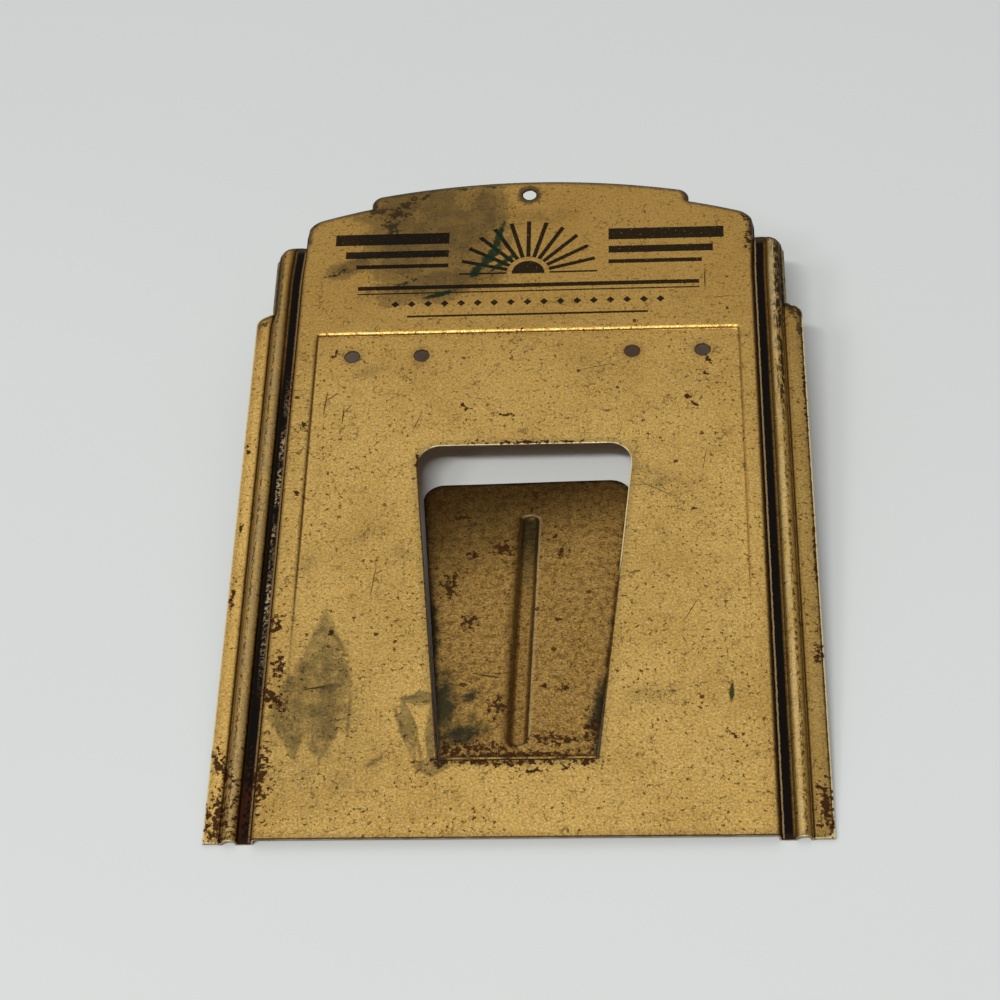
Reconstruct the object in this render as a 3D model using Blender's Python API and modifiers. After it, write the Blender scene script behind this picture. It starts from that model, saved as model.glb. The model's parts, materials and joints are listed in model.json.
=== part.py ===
"""Stamped tinplate sign plate with a stepped top and a bent-back easel strut.

The whole sign is one sheet of thin tinplate. A raised face with a turned-down edge carries a
pressed panel for a stapled paper pad. Down each side runs a channel, a half-round rib, a fine
groove and a flat flange, and each of these ends at its own height, which gives the stepped top.
A tapered tongue is sheared out of the panel on three sides and bent back along its fourth as a
strut, so the sheet has two rigid parts that turn against each other along one fold line.

The plate is drawn in its own flat frame: x across, y up from the bottom edge, z out of the face,
with z = 0 on the front of the raised face. Empties then lean it back on the table.
"""
import math

import bmesh
import bpy
from mathutils import Matrix, Vector

MM = 0.001
OBJECT_NAME = "easel_back_sign"

# Sheet
SHEET = 0.30 * MM
CLEARANCE = 0.30 * MM

# Outline, stepping down from the top of the crown
PLATE_WIDTH = 95.25 * MM
PLATE_HEIGHT = 133.35 * MM
CROWN_WIDTH = 57.20 * MM
CROWN_RADIUS = 135.0 * MM
CROWN_CORNER = 2.20 * MM
STEP_DROP = 5.60 * MM
SHOULDER_RADIUS = 120.0 * MM
HEADER_CORNER = 4.00 * MM
HEADER_SIDE_RUN = 2.00 * MM
RIB_CORNER = 3.00 * MM
FLANGE_STEP = 15.50 * MM
FLANGE_CORNER = 1.20 * MM
FLANGE_END_SLOPE = 0.50

# Section across each side, from the raised face outwards
FACE_DROP = 1.60 * MM
WALL_ANGLE = math.radians(80.0)
WALL_TOP_ROUND = 0.70 * MM
WALL_FOOT_ROUND = 0.30 * MM
CHANNEL_WIDTH = 1.80 * MM
RIB_WIDTH = 2.60 * MM
RIB_HEIGHT = 1.10 * MM
GROOVE_FLOOR = 0.10 * MM
GROOVE_WALL = 0.25 * MM
GROOVE_DEPTH = 0.30 * MM
FLANGE_WIDTH = 2.775 * MM

# Turned-down edge round the top
RIM_WIDTH = 1.80 * MM
RIM_DROP = 0.80 * MM
END_ROLL_LENGTH = 1.60 * MM
END_ROLL_SHARE = 0.90

# Pressed panel that the paper pad lies in
PANEL_MARGIN = 3.35 * MM
PANEL_TOP_DROP = 35.25 * MM
PANEL_DEPTH = 0.55 * MM
PANEL_ROUND = 0.75 * MM
PANEL_FADE_TOP = 55.0 * MM
PANEL_FADE_FOOT = 30.0 * MM

# Punched holes
HANG_HOLE_DIAMETER = 2.40 * MM
HANG_HOLE_DROP = 3.80 * MM
PAD_HOLE_DIAMETER = 2.40 * MM
PAD_HOLE_INNER_SPAN = 36.30 * MM
PAD_HOLE_PITCH = 12.05 * MM
PAD_HOLE_INSET = 4.80 * MM

# Window that the strut is sheared from, and the strut itself
FOLD_HEIGHT = 13.35 * MM
WINDOW_HEIGHT = 60.40 * MM
WINDOW_TOP_WIDTH = 36.50 * MM
WINDOW_FOOT_WIDTH = 24.60 * MM
WINDOW_CORNER = 3.80 * MM
BEAD_WIDTH = 3.40 * MM
BEAD_START = 2.00 * MM
BEAD_LENGTH = 50.1 * MM
BEAD_LIP = 0.35 * MM
BEAD_LIP_DROP = 0.25 * MM
BEAD_FLANK = 0.45 * MM
BEAD_FLANK_DROP = 0.25 * MM
STRUT_BEND = math.radians(10.0)

# Finishes, as linear colour, roughness and metallic
GOLD_LACQUER = ((0.50, 0.33, 0.10), 0.42, 0.85)
DULLED_GOLD_LACQUER = ((0.33, 0.21, 0.08), 0.50, 0.80)

# Mesh fineness
ROUND_STEPS = 4
PANEL_ROUND_STEPS = 2
RIB_STEPS = 10
CORNER_STEPS = 8
ARC_STEPS = 10
HOLE_SIDES = 32
RUNOUT = 5.0 * MM
TOUCH = 0.001 * MM
MERGE = 0.01 * MM
SHARP_ANGLE = math.radians(35.0)
EMPTY_SIZE = 10 * MM

# Places that follow from the sizes above
FLANGE_START = PLATE_WIDTH / 2 - FLANGE_WIDTH
HEADER_SIDE = FLANGE_START - GROOVE_WALL - GROOVE_FLOOR - RIB_WIDTH - CHANNEL_WIDTH
PANEL_TOP = PLATE_HEIGHT - PANEL_TOP_DROP
PANEL_SIDE = HEADER_SIDE - PANEL_MARGIN
LOWEST_BACK = FACE_DROP + SHEET


def clear_scene():
    """Remove every object, so that the script can run in any file."""
    for item in list(bpy.data.objects):
        bpy.data.objects.remove(item, do_unlink=True)


def new_collection(name):
    """Return a new collection linked to the scene."""
    group = bpy.data.collections.new(name)
    bpy.context.scene.collection.children.link(group)
    return group


def make_material(name, finish):
    """Return a Principled material of one finish."""
    colour, roughness, metallic = finish
    material = bpy.data.materials.new(name)
    material.use_nodes = True
    shader = material.node_tree.nodes["Principled BSDF"]
    shader.inputs["Base Color"].default_value = (*colour, 1.0)
    shader.inputs["Roughness"].default_value = roughness
    shader.inputs["Metallic"].default_value = metallic
    return material


def arc(centre, radius, start, end, steps):
    """Return points along an arc between two angles in radians."""
    points = []
    for index in range(steps + 1):
        angle = start + (end - start) * index / steps
        points.append(Vector((centre[0] + radius * math.cos(angle),
                              centre[1] + radius * math.sin(angle))))
    return points


def step_profile(drop, top_round, foot_round, slope, steps):
    """Return (distance, depth) points of a pressed step with a round at its top and foot."""
    rounds = top_round + foot_round
    wall = (drop - rounds * (1 - math.cos(slope))) / math.sin(slope)
    points = []
    for index in range(steps + 1):
        angle = slope * index / steps
        points.append((top_round * math.sin(angle), top_round * (1 - math.cos(angle))))
    foot = points[-1][0] + wall * math.cos(slope) + foot_round * math.sin(slope)
    if wall < TOUCH:
        points.pop()
    for index in range(steps + 1):
        angle = slope * (1 - index / steps)
        points.append((foot - foot_round * math.sin(angle),
                       drop - foot_round * (1 - math.cos(angle))))
    return points


def depth_at(profile, distance):
    """Return the depth of a profile at a distance along it."""
    if distance <= profile[0][0]:
        return profile[0][1]
    for (near, near_depth), (far, far_depth) in zip(profile, profile[1:]):
        if distance <= far:
            return near_depth + (far_depth - near_depth) * (distance - near) / max(far - near, TOUCH)
    return profile[-1][1]


def rib_offsets():
    """Return the (offset, depth) points of the channel, rib, groove and flange."""
    radius = ((RIB_WIDTH / 2) ** 2 + RIB_HEIGHT ** 2) / (2 * RIB_HEIGHT)
    spread = math.asin(RIB_WIDTH / 2 / radius)
    points = []
    for index in range(RIB_STEPS + 1):
        angle = spread * (2 * index / RIB_STEPS - 1)
        rise = RIB_HEIGHT - radius * (1 - math.cos(angle))
        points.append((CHANNEL_WIDTH + RIB_WIDTH / 2 + radius * math.sin(angle), FACE_DROP - rise))
    groove = CHANNEL_WIDTH + RIB_WIDTH + GROOVE_FLOOR
    points.append((groove, FACE_DROP))
    points.append((groove + GROOVE_WALL, FACE_DROP - GROOVE_DEPTH))
    corner = FLANGE_WIDTH - FLANGE_CORNER
    for index in range(ROUND_STEPS + 1):
        angle = math.pi / 2 * index / ROUND_STEPS
        points.append((groove + GROOVE_WALL + corner + FLANGE_CORNER * math.sin(angle),
                       FACE_DROP - GROOVE_DEPTH))
    return points


def rounded_corner(side, arc_centre_y, arc_radius, corner):
    """Return the centre of a corner round between an upright edge and a broad arc on x = 0."""
    x = side - corner
    y = arc_centre_y + math.sqrt((arc_radius - corner) ** 2 - x ** 2)
    return Vector((x, y))


WALL = step_profile(FACE_DROP, WALL_TOP_ROUND, WALL_FOOT_ROUND, WALL_ANGLE, ROUND_STEPS)
WALL_WIDTH = WALL[-1][0]
PANEL_ANGLE = math.acos(1 - PANEL_DEPTH / (2 * PANEL_ROUND))
PANEL_STEP = step_profile(PANEL_DEPTH, PANEL_ROUND, PANEL_ROUND, PANEL_ANGLE,
                          PANEL_ROUND_STEPS)
PANEL_STEP_WIDTH = PANEL_STEP[-1][0]
SIDE_SECTION = [(0.0, FACE_DROP)] + rib_offsets()

# Centres of the header's arcs, and the tops of the rib and the flange below them
CROWN_SIDE = CROWN_WIDTH / 2
CROWN_Y = PLATE_HEIGHT - CROWN_RADIUS
SHOULDER_Y = PLATE_HEIGHT - STEP_DROP - math.sqrt(SHOULDER_RADIUS ** 2 - CROWN_SIDE ** 2)
CROWN_ROUND = rounded_corner(CROWN_SIDE, CROWN_Y, CROWN_RADIUS, CROWN_CORNER)
HEADER_ROUND = rounded_corner(HEADER_SIDE, SHOULDER_Y, SHOULDER_RADIUS, HEADER_CORNER)
RIB_TOP = HEADER_ROUND.y - HEADER_SIDE_RUN
FLANGE_TOP = RIB_TOP - FLANGE_STEP


def top_outline():
    """Return the right half of the header's edge, from the rib's top over the crown."""
    header_lean = math.atan2(HEADER_ROUND.y - SHOULDER_Y, HEADER_ROUND.x)
    crown_lean = math.atan2(CROWN_ROUND.y - CROWN_Y, CROWN_ROUND.x)
    step_lean = math.acos(CROWN_SIDE / SHOULDER_RADIUS)
    centre_lean = math.pi / 2 + math.asin(RUNOUT / CROWN_RADIUS)
    points = [Vector((HEADER_SIDE, RIB_TOP))]
    points += arc(HEADER_ROUND, HEADER_CORNER, 0.0, header_lean, CORNER_STEPS)
    points += arc((0, SHOULDER_Y), SHOULDER_RADIUS, header_lean, step_lean, ARC_STEPS)[1:]
    points += arc(CROWN_ROUND, CROWN_CORNER, 0.0, crown_lean, CORNER_STEPS)
    points += arc((0, CROWN_Y), CROWN_RADIUS, crown_lean, centre_lean, ARC_STEPS)[1:]
    return points


def edge_distance(point, outline):
    """Return the distance from a point to a run of straight stretches."""
    nearest = math.inf
    for start, end in zip(outline, outline[1:]):
        along = end - start
        share = max(0.0, min(1.0, (point - start).dot(along) / along.length_squared))
        nearest = min(nearest, (point - start - along * share).length)
    return nearest


def rim_depth(distance):
    """Return how far the turned-down edge has fallen at a distance from the edge."""
    radius = (RIM_WIDTH ** 2 + RIM_DROP ** 2) / (2 * RIM_DROP)
    inwards = max(0.0, RIM_WIDTH - distance)
    return radius - math.sqrt(radius ** 2 - inwards ** 2)


def panel_depth(x, y):
    """Return the depth of the pressed panel, which fades out towards the bottom."""
    across = depth_at(PANEL_STEP, PANEL_SIDE + PANEL_STEP_WIDTH / 2 - x)
    up = depth_at(PANEL_STEP, PANEL_TOP + PANEL_STEP_WIDTH / 2 - y)
    fade = (y - PANEL_FADE_FOOT) / (PANEL_FADE_TOP - PANEL_FADE_FOOT)
    return min(across, up) * max(0.0, min(1.0, fade))


def face_depth(point, outline):
    """Return the depth of the raised face, its side walls and its turned-down edge."""
    wall = depth_at(WALL, WALL_WIDTH - (HEADER_SIDE - point.x))
    rim = rim_depth(edge_distance(point, outline))
    return max(wall, rim) + panel_depth(point.x, point.y)


def rib_end(x):
    """Return the height of the rib's top end at a place across it."""
    start = FLANGE_START - RIB_CORNER
    if x <= start:
        return RIB_TOP
    return RIB_TOP - RIB_CORNER + math.sqrt(max(0.0, RIB_CORNER ** 2 - (x - start) ** 2))


def end_roll(from_top):
    """Return the share of its height that the rib has lost at a distance below its top end."""
    return END_ROLL_SHARE * (1 - from_top / END_ROLL_LENGTH) ** 2


def flange_end(x):
    """Return the height of the flange's sloping top end at a place across it."""
    height = FLANGE_TOP - (x - FLANGE_START) * FLANGE_END_SLOPE
    start = PLATE_WIDTH / 2 - FLANGE_CORNER
    if x <= start:
        return height
    return height - FLANGE_CORNER + math.sqrt(max(0.0, FLANGE_CORNER ** 2 - (x - start) ** 2))


def cut(bm, faces, point, normal, drop_side=False):
    """Cut faces along a plane, and drop what lies on its far side if asked."""
    geometry = set(faces)
    for face in faces:
        geometry.update(face.edges)
        geometry.update(face.verts)
    bmesh.ops.bisect_plane(bm, geom=list(geometry), dist=TOUCH, plane_co=point,
                           plane_no=normal, clear_outer=drop_side)


def add_face_sheet(bm, outline):
    """Make the right half of the raised face, ringed for its walls and rim."""
    points = [Vector((-RUNOUT, -RUNOUT)), Vector((HEADER_SIDE, -RUNOUT))] + outline
    face = bm.faces.new([bm.verts.new((*point, 0.0)) for point in points])
    face.normal_update()
    rings = [WALL_WIDTH - distance for distance, _ in reversed(WALL)] + [RIM_WIDTH]
    for outer, inner in zip(rings, rings[1:]):
        bmesh.ops.inset_region(bm, faces=[face], thickness=inner - outer,
                               use_even_offset=True, use_boundary=True)
    cut(bm, bm.faces, (0, 0, 0), (-1, 0, 0), drop_side=True)
    cut(bm, bm.faces, (0, 0, 0), (0, -1, 0), drop_side=True)


def add_panel_lines(bm):
    """Cut the lines that the panel's step, its fade and the flutes' ends need."""
    half_step = PANEL_STEP_WIDTH / 2
    rows = [PANEL_FADE_FOOT, PANEL_FADE_TOP, FLANGE_TOP]
    rows += [RIB_TOP - END_ROLL_LENGTH * index / ROUND_STEPS for index in range(ROUND_STEPS + 1)]
    rows += [PANEL_TOP + half_step - distance for distance, _ in PANEL_STEP]
    for row in rows:
        cut(bm, bm.faces, (0, row, 0), (0, 1, 0))
    for distance, _ in PANEL_STEP:
        column = PANEL_SIDE + half_step - distance
        below = [face for face in bm.faces
                 if face.calc_center_median().y < PANEL_TOP + half_step]
        cut(bm, below, (column, 0, 0), (1, 0, 0))


def add_side_strips(bm):
    """Extrude the face's side edge outwards, one strip at a time, to the flange's edge."""
    edges = [edge for edge in bm.edges
             if all(abs(vert.co.x - HEADER_SIDE) < TOUCH and vert.co.y < RIB_TOP + TOUCH
                    for vert in edge.verts)]
    for offset, _ in SIDE_SECTION[1:]:
        column = HEADER_SIDE + offset
        if column > FLANGE_START + TOUCH:
            edges = [edge for edge in edges
                     if all(vert.co.y < FLANGE_TOP + TOUCH for vert in edge.verts)]
        grown = bmesh.ops.extrude_edge_only(bm, edges=edges)["geom"]
        for item in grown:
            if isinstance(item, bmesh.types.BMVert):
                item.co.x = column
        edges = [item for item in grown if isinstance(item, bmesh.types.BMEdge)
                 and all(abs(vert.co.x - column) < TOUCH for vert in item.verts)]


def press_sheet(bm, outline):
    """Move every point of the flat sheet to its pressed depth and trimmed height."""
    for vert in bm.verts:
        x, y = vert.co.x, vert.co.y
        if x <= HEADER_SIDE + TOUCH:
            vert.co.z = -face_depth(Vector((x, y)), outline)
            continue
        depth = depth_at(SIDE_SECTION, x - HEADER_SIDE)
        from_top = RIB_TOP - y
        if from_top < END_ROLL_LENGTH + TOUCH:
            vert.co.y = rib_end(x) - from_top
            depth += (FACE_DROP - depth) * end_roll(from_top)
        elif abs(y - FLANGE_TOP) < TOUCH and x > FLANGE_START + TOUCH:
            vert.co.y = flange_end(x)
        vert.co.z = -depth


def finish_mesh(bm, name):
    """Turn a bmesh into mesh data with round parts shaded smooth."""
    mesh = bpy.data.meshes.new(name)
    bm.to_mesh(mesh)
    bm.free()
    mesh.shade_smooth()
    mesh.set_sharp_from_angle(angle=SHARP_ANGLE)
    return mesh


def place(name, mesh, group, material=None, parent=None):
    """Link a mesh object into a collection."""
    item = bpy.data.objects.new(name, mesh)
    group.objects.link(item)
    item.parent = parent
    if material:
        mesh.materials.append(material)
    return item


def thicken(item):
    """Give a sheet its thickness, behind the surface that was drawn."""
    wall = item.modifiers.new("Sheet", "SOLIDIFY")
    wall.thickness = SHEET
    wall.offset = -1.0
    wall.use_even_offset = True
    wall.use_quality_normals = True


def cut_out(item, cutter, name):
    """Cut one object with another."""
    cutting = item.modifiers.new(name, "BOOLEAN")
    cutting.operation = "DIFFERENCE"
    cutting.solver = "EXACT"
    cutting.object = cutter


def window_outline(inset):
    """Return the outline of the window, or of what fits in it with a gap all round.

    It is measured from the fold line, and an inset moves every side inwards by one distance.
    """
    lean = math.atan2((WINDOW_TOP_WIDTH - WINDOW_FOOT_WIDTH) / 2, WINDOW_HEIGHT)
    corner = WINDOW_CORNER - inset
    top = WINDOW_HEIGHT - inset

    def half_width(y):
        return WINDOW_FOOT_WIDTH / 2 + y * math.tan(lean) - inset / math.cos(lean)

    centre_y = top - corner
    centre_x = half_width(centre_y) - corner / math.cos(lean)
    right = [Vector((half_width(inset), inset))]
    right += arc((centre_x, centre_y), corner, -lean, math.pi / 2, CORNER_STEPS)
    left = [Vector((-point.x, point.y)) for point in reversed(right)]
    return right + left


def prism(name, outline, group, parent):
    """Make a cutter that passes right through the sheet."""
    bm = bmesh.new()
    face = bm.faces.new([bm.verts.new((*point, -RUNOUT)) for point in outline])
    grown = bmesh.ops.extrude_face_region(bm, geom=[face])["geom"]
    verts = [item for item in grown if isinstance(item, bmesh.types.BMVert)]
    bmesh.ops.translate(bm, verts=verts, vec=(0, 0, 2 * RUNOUT))
    bmesh.ops.recalc_face_normals(bm, faces=bm.faces)
    return cutter(name, bm, group, parent)


def punches(name, places, diameter, group, parent):
    """Make a cutter of round punches through the sheet."""
    bm = bmesh.new()
    for x, y in places:
        bmesh.ops.create_cone(bm, cap_ends=True, segments=HOLE_SIDES, radius1=diameter / 2,
                              radius2=diameter / 2, depth=2 * RUNOUT,
                              matrix=Matrix.Translation((x, y, 0)))
    return cutter(name, bm, group, parent)


def cutter(name, bm, group, parent):
    """Link a bmesh as a hidden cutter."""
    item = place(name, finish_mesh(bm, name), group, parent=parent)
    item.hide_render = True
    item.display_type = "WIRE"
    return item


def build_plate(parts, cutters, frame, material):
    """Model the face plate: one half pressed and mirrored, then thickened and punched."""
    outline = top_outline()
    bm = bmesh.new()
    add_face_sheet(bm, outline)
    add_panel_lines(bm)
    add_side_strips(bm)
    press_sheet(bm, outline)
    bmesh.ops.triangulate(bm, faces=bm.faces)
    bmesh.ops.recalc_face_normals(bm, faces=bm.faces)
    plate = place("face_plate", finish_mesh(bm, "face_plate"), parts, material, frame)
    mirror = plate.modifiers.new("Other half", "MIRROR")
    mirror.merge_threshold = MERGE
    mirror.use_clip = True
    thicken(plate)

    window = [Vector((point.x, point.y + FOLD_HEIGHT)) for point in window_outline(0.0)]
    cut_out(plate, prism("window_cutter", window, cutters, frame), "Window")
    hang = [(0.0, PLATE_HEIGHT - HANG_HOLE_DROP)]
    cut_out(plate, punches("hang_hole_punch", hang, HANG_HOLE_DIAMETER, cutters, frame),
            "Hang hole")
    pad_y = PANEL_TOP - PAD_HOLE_INSET
    inner = PAD_HOLE_INNER_SPAN / 2
    pad = [(side * (inner + step), pad_y) for side in (-1, 1) for step in (0, PAD_HOLE_PITCH)]
    cut_out(plate, punches("pad_hole_punch", pad, PAD_HOLE_DIAMETER, cutters, frame),
            "Pad holes")
    return plate


def bead_outline():
    """Return the round-ended outline of the bead pressed along the strut."""
    radius = BEAD_WIDTH / 2
    start = BEAD_START + radius
    end = BEAD_START + BEAD_LENGTH - radius
    points = arc((0, start), radius, math.pi, 2 * math.pi, CORNER_STEPS)
    return points + arc((0, end), radius, 0.0, math.pi, CORNER_STEPS)


def build_strut(parts, fold, material):
    """Model the easel strut, drawn from the fold line, with its stiffening bead."""
    bm = bmesh.new()
    front = SHEET / 2
    rise = Vector((0, CLEARANCE))
    edge_points = [point - rise for point in window_outline(CLEARANCE)]
    edge_verts = [bm.verts.new((*point, front)) for point in edge_points]
    edges = [bm.edges.new(pair) for pair in zip(edge_verts, edge_verts[1:] + edge_verts[:1])]
    bead_verts = [bm.verts.new((*point, front)) for point in bead_outline()]
    edges += [bm.edges.new(pair) for pair in zip(bead_verts, bead_verts[1:] + bead_verts[:1])]
    bmesh.ops.triangle_fill(bm, use_beauty=True, edges=edges, normal=(0, 0, 1))
    bead = bm.faces.new(bead_verts)
    bead.normal_update()
    for width, drop in ((BEAD_LIP, BEAD_LIP_DROP), (BEAD_FLANK, BEAD_FLANK_DROP)):
        bmesh.ops.inset_region(bm, faces=[bead], thickness=width, depth=-drop,
                               use_even_offset=True, use_boundary=True)
    bmesh.ops.recalc_face_normals(bm, faces=bm.faces)
    bmesh.ops.triangulate(bm, faces=bm.faces)
    strut = place("easel_strut", finish_mesh(bm, "easel_strut"), parts, material, fold)
    thicken(strut)
    return strut


def lean_on(along, behind):
    """Return the lean at which one point of the strut's back would touch the table.

    The point lies a distance along the strut from the fold and behind its middle plane.
    """
    y = FOLD_HEIGHT + CLEARANCE + along * math.cos(STRUT_BEND) - behind * math.sin(STRUT_BEND)
    z = SHEET / 2 + along * math.sin(STRUT_BEND) + behind * math.cos(STRUT_BEND)
    return math.atan2(z - LOWEST_BACK, y)


def resting_lean():
    """Return the lean of the plate that lies on its bottom edge and on its strut."""
    tip = lean_on(WINDOW_HEIGHT - 2 * CLEARANCE, SHEET / 2)
    bead_end = BEAD_START + BEAD_LENGTH - BEAD_LIP - BEAD_FLANK
    bead = lean_on(bead_end, SHEET / 2 + BEAD_LIP_DROP + BEAD_FLANK_DROP)
    return max(tip, bead)


def add_empty(name, group, parent, location, tilt):
    """Add an empty that a rigid part hangs on, turned about x."""
    item = bpy.data.objects.new(name, None)
    group.objects.link(item)
    item.empty_display_size = EMPTY_SIZE
    item.parent = parent
    item.location = location
    item.rotation_euler = (tilt, 0, 0)
    return item


def main():
    """Build the sign, leaning back as it lies on a table."""
    clear_scene()
    parts = new_collection(OBJECT_NAME)
    cutters = new_collection(OBJECT_NAME + "_cutters")
    gold = make_material("gold_lacquer", GOLD_LACQUER)
    dull_gold = make_material("dulled_gold_lacquer", DULLED_GOLD_LACQUER)

    lean = resting_lean()
    crown_back = (RIM_DROP + SHEET) * math.sin(lean)
    depth = PLATE_HEIGHT * math.cos(lean) + crown_back
    frame = add_empty("plate_frame", parts, None,
                      (0, -depth / 2, LOWEST_BACK * math.cos(lean)), lean)
    fold = add_empty("strut_fold", parts, frame,
                     (0, FOLD_HEIGHT + CLEARANCE, -SHEET / 2), -STRUT_BEND)
    build_plate(parts, cutters, frame, gold)
    build_strut(parts, fold, dull_gold)


main()
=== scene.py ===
"""Dresses the easel-back sign plate: its stamped sheet, its lacquer and enamel, and its light.

The sign is one sheet of tinplate, printed flat and then stamped. Each piece is drawn flat in the
plate's own frame (x across, y up from the bottom edge, z out of the face), scored, pressed and
thickened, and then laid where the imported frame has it. Every vertex keeps the place that it had
on the flat sheet, so the printing and the wear follow the pressed surface.
"""

import json
import math

import bmesh
import bpy
from mathutils import Matrix, Vector, noise
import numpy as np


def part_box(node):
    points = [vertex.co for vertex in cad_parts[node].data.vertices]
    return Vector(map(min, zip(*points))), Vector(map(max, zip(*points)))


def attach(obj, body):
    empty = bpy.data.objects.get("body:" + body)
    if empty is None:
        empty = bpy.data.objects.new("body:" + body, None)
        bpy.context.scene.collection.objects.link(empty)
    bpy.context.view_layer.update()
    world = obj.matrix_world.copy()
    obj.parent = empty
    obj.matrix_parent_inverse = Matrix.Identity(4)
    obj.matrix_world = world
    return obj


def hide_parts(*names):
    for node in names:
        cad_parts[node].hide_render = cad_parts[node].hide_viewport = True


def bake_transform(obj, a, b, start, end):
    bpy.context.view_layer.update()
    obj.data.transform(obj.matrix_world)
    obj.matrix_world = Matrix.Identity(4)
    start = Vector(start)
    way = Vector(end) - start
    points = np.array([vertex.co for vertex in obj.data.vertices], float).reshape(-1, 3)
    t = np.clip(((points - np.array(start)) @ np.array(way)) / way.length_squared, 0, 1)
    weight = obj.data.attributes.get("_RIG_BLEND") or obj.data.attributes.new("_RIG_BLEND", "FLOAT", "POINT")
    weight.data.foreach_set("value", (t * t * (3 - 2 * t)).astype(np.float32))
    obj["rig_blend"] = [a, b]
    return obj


bl_info = {
    "name": "Easel Back Sign Plate",
    "version": (1, 0, 0),
    "blender": (4, 5, 0),
    "location": "3D View > Sidebar > Sign",
    "description": "Builds the stamped tinplate sign plate, its strut and its stage",
    "category": "Object",
}

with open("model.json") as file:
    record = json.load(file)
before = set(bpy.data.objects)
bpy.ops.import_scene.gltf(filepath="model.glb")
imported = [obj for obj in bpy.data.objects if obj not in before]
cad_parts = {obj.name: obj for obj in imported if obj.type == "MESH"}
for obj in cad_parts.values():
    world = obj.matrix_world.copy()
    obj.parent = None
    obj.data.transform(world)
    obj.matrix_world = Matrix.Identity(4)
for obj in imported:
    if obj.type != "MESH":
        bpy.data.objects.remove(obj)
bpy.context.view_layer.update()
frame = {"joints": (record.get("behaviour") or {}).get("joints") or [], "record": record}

MM = 0.001

# Sheet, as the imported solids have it
SHEET = 0.30 * MM
CLEARANCE = 0.30 * MM

# Outline, stepping down from the top of the crown
PLATE_LOW, PLATE_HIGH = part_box("face_plate")
PLATE_WIDTH = PLATE_HIGH.x - PLATE_LOW.x
PLATE_HEIGHT = 133.35 * MM
CROWN_WIDTH = 57.20 * MM
CROWN_RADIUS = 135.0 * MM
CROWN_CORNER = 2.20 * MM
STEP_DROP = 5.60 * MM
SHOULDER_RADIUS = 120.0 * MM
HEADER_CORNER = 4.00 * MM
HEADER_SIDE_RUN = 2.00 * MM
RIB_CORNER = 3.00 * MM
FLANGE_STEP = 15.50 * MM
FLANGE_CORNER = 1.20 * MM
FLANGE_END_SLOPE = 0.50

# Section across each side, from the raised face outwards
FACE_DROP = 1.60 * MM
WALL_ANGLE = math.radians(80.0)
WALL_TOP_ROUND = 0.70 * MM
WALL_FOOT_ROUND = 0.30 * MM
CHANNEL_WIDTH = 1.80 * MM
RIB_WIDTH = 2.60 * MM
RIB_HEIGHT = 1.10 * MM
GROOVE_FLOOR = 0.10 * MM
GROOVE_WALL = 0.25 * MM
GROOVE_DEPTH = 0.30 * MM
FLANGE_WIDTH = 2.775 * MM

# Turned-down edge round the top
RIM_WIDTH = 1.80 * MM
RIM_DROP = 0.80 * MM
END_ROLL_LENGTH = 1.60 * MM
END_ROLL_SHARE = 0.90
END_SQUEEZE = 9.0 * MM

# Pressed panel that the paper pad lies in
PANEL_MARGIN = 3.35 * MM
PANEL_TOP_DROP = 35.25 * MM
PANEL_DEPTH = 0.55 * MM
PANEL_TOP_ROUND = 0.80 * MM
PANEL_FOOT_ROUND = 0.22 * MM
PANEL_WALL_ANGLE = math.radians(62.0)
PANEL_CORNER = 1.10 * MM
PANEL_FADE_TOP = 55.0 * MM
PANEL_FADE_FOOT = 30.0 * MM

# Punched holes
HANG_HOLE_DIAMETER = 2.40 * MM
HANG_HOLE_DROP = 3.80 * MM
PAD_HOLE_DIAMETER = 2.40 * MM
PAD_HOLE_INNER_SPAN = 36.30 * MM
PAD_HOLE_PITCH = 12.05 * MM
PAD_HOLE_INSET = 4.80 * MM

# Window that the strut is sheared from, and the strut itself
FOLD_HEIGHT = 13.35 * MM
WINDOW_HEIGHT = 60.40 * MM
WINDOW_TOP_WIDTH = 36.50 * MM
WINDOW_FOOT_WIDTH = 24.60 * MM
WINDOW_CORNER = 3.80 * MM
BEAD_WIDTH = 3.40 * MM
BEAD_START = 2.00 * MM
BEAD_LENGTH = 50.1 * MM
BEAD_TOP_DEPTH = 0.52 * MM
BEAD_FOOT_DEPTH = 0.85 * MM
BEAD_FLANK = 1.10 * MM
STRUT_BEND = math.radians(10.0)

# Mesh fineness
ROUND_STEPS = 5
RIB_STEPS = 18
CORNER_STEPS = 10
ARC_STEPS = 24
RIM_RINGS = 5
BEAD_RINGS = 6
ROLL_STEPS = 6
HOLE_SIDES = 32
FOLD_STEPS = 6
RUNOUT = 5.0 * MM
TOUCH = 0.001 * MM
MERGE = 0.01 * MM
SHARP_ANGLE = math.radians(40.0)
FAR = 9.0 * MM
WEB_SPACING = 6 * CLEARANCE
# Lines that shape the panel's corners, in shares of its radius
CORNER_SHARES = (0.12, 0.3, 0.55, 0.8)
# Share of the spacing that an evenly spaced line keeps from the others
LINE_CLEAR_SHARE = 0.125

# Dents: how much finer and fainter the small ones are, and where each layer cuts the noise
SMALL_DENT_FINENESS = 3.1
SMALL_DENT_SHARE = 0.35
BROAD_LAYER = 0.3
SMALL_LAYER = 7.9
# The strut dents less than the plate, and takes another stretch of the noise
STRUT_DENT_SHARE = 0.6
STRUT_DENT_SHIFT = 1.0

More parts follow.
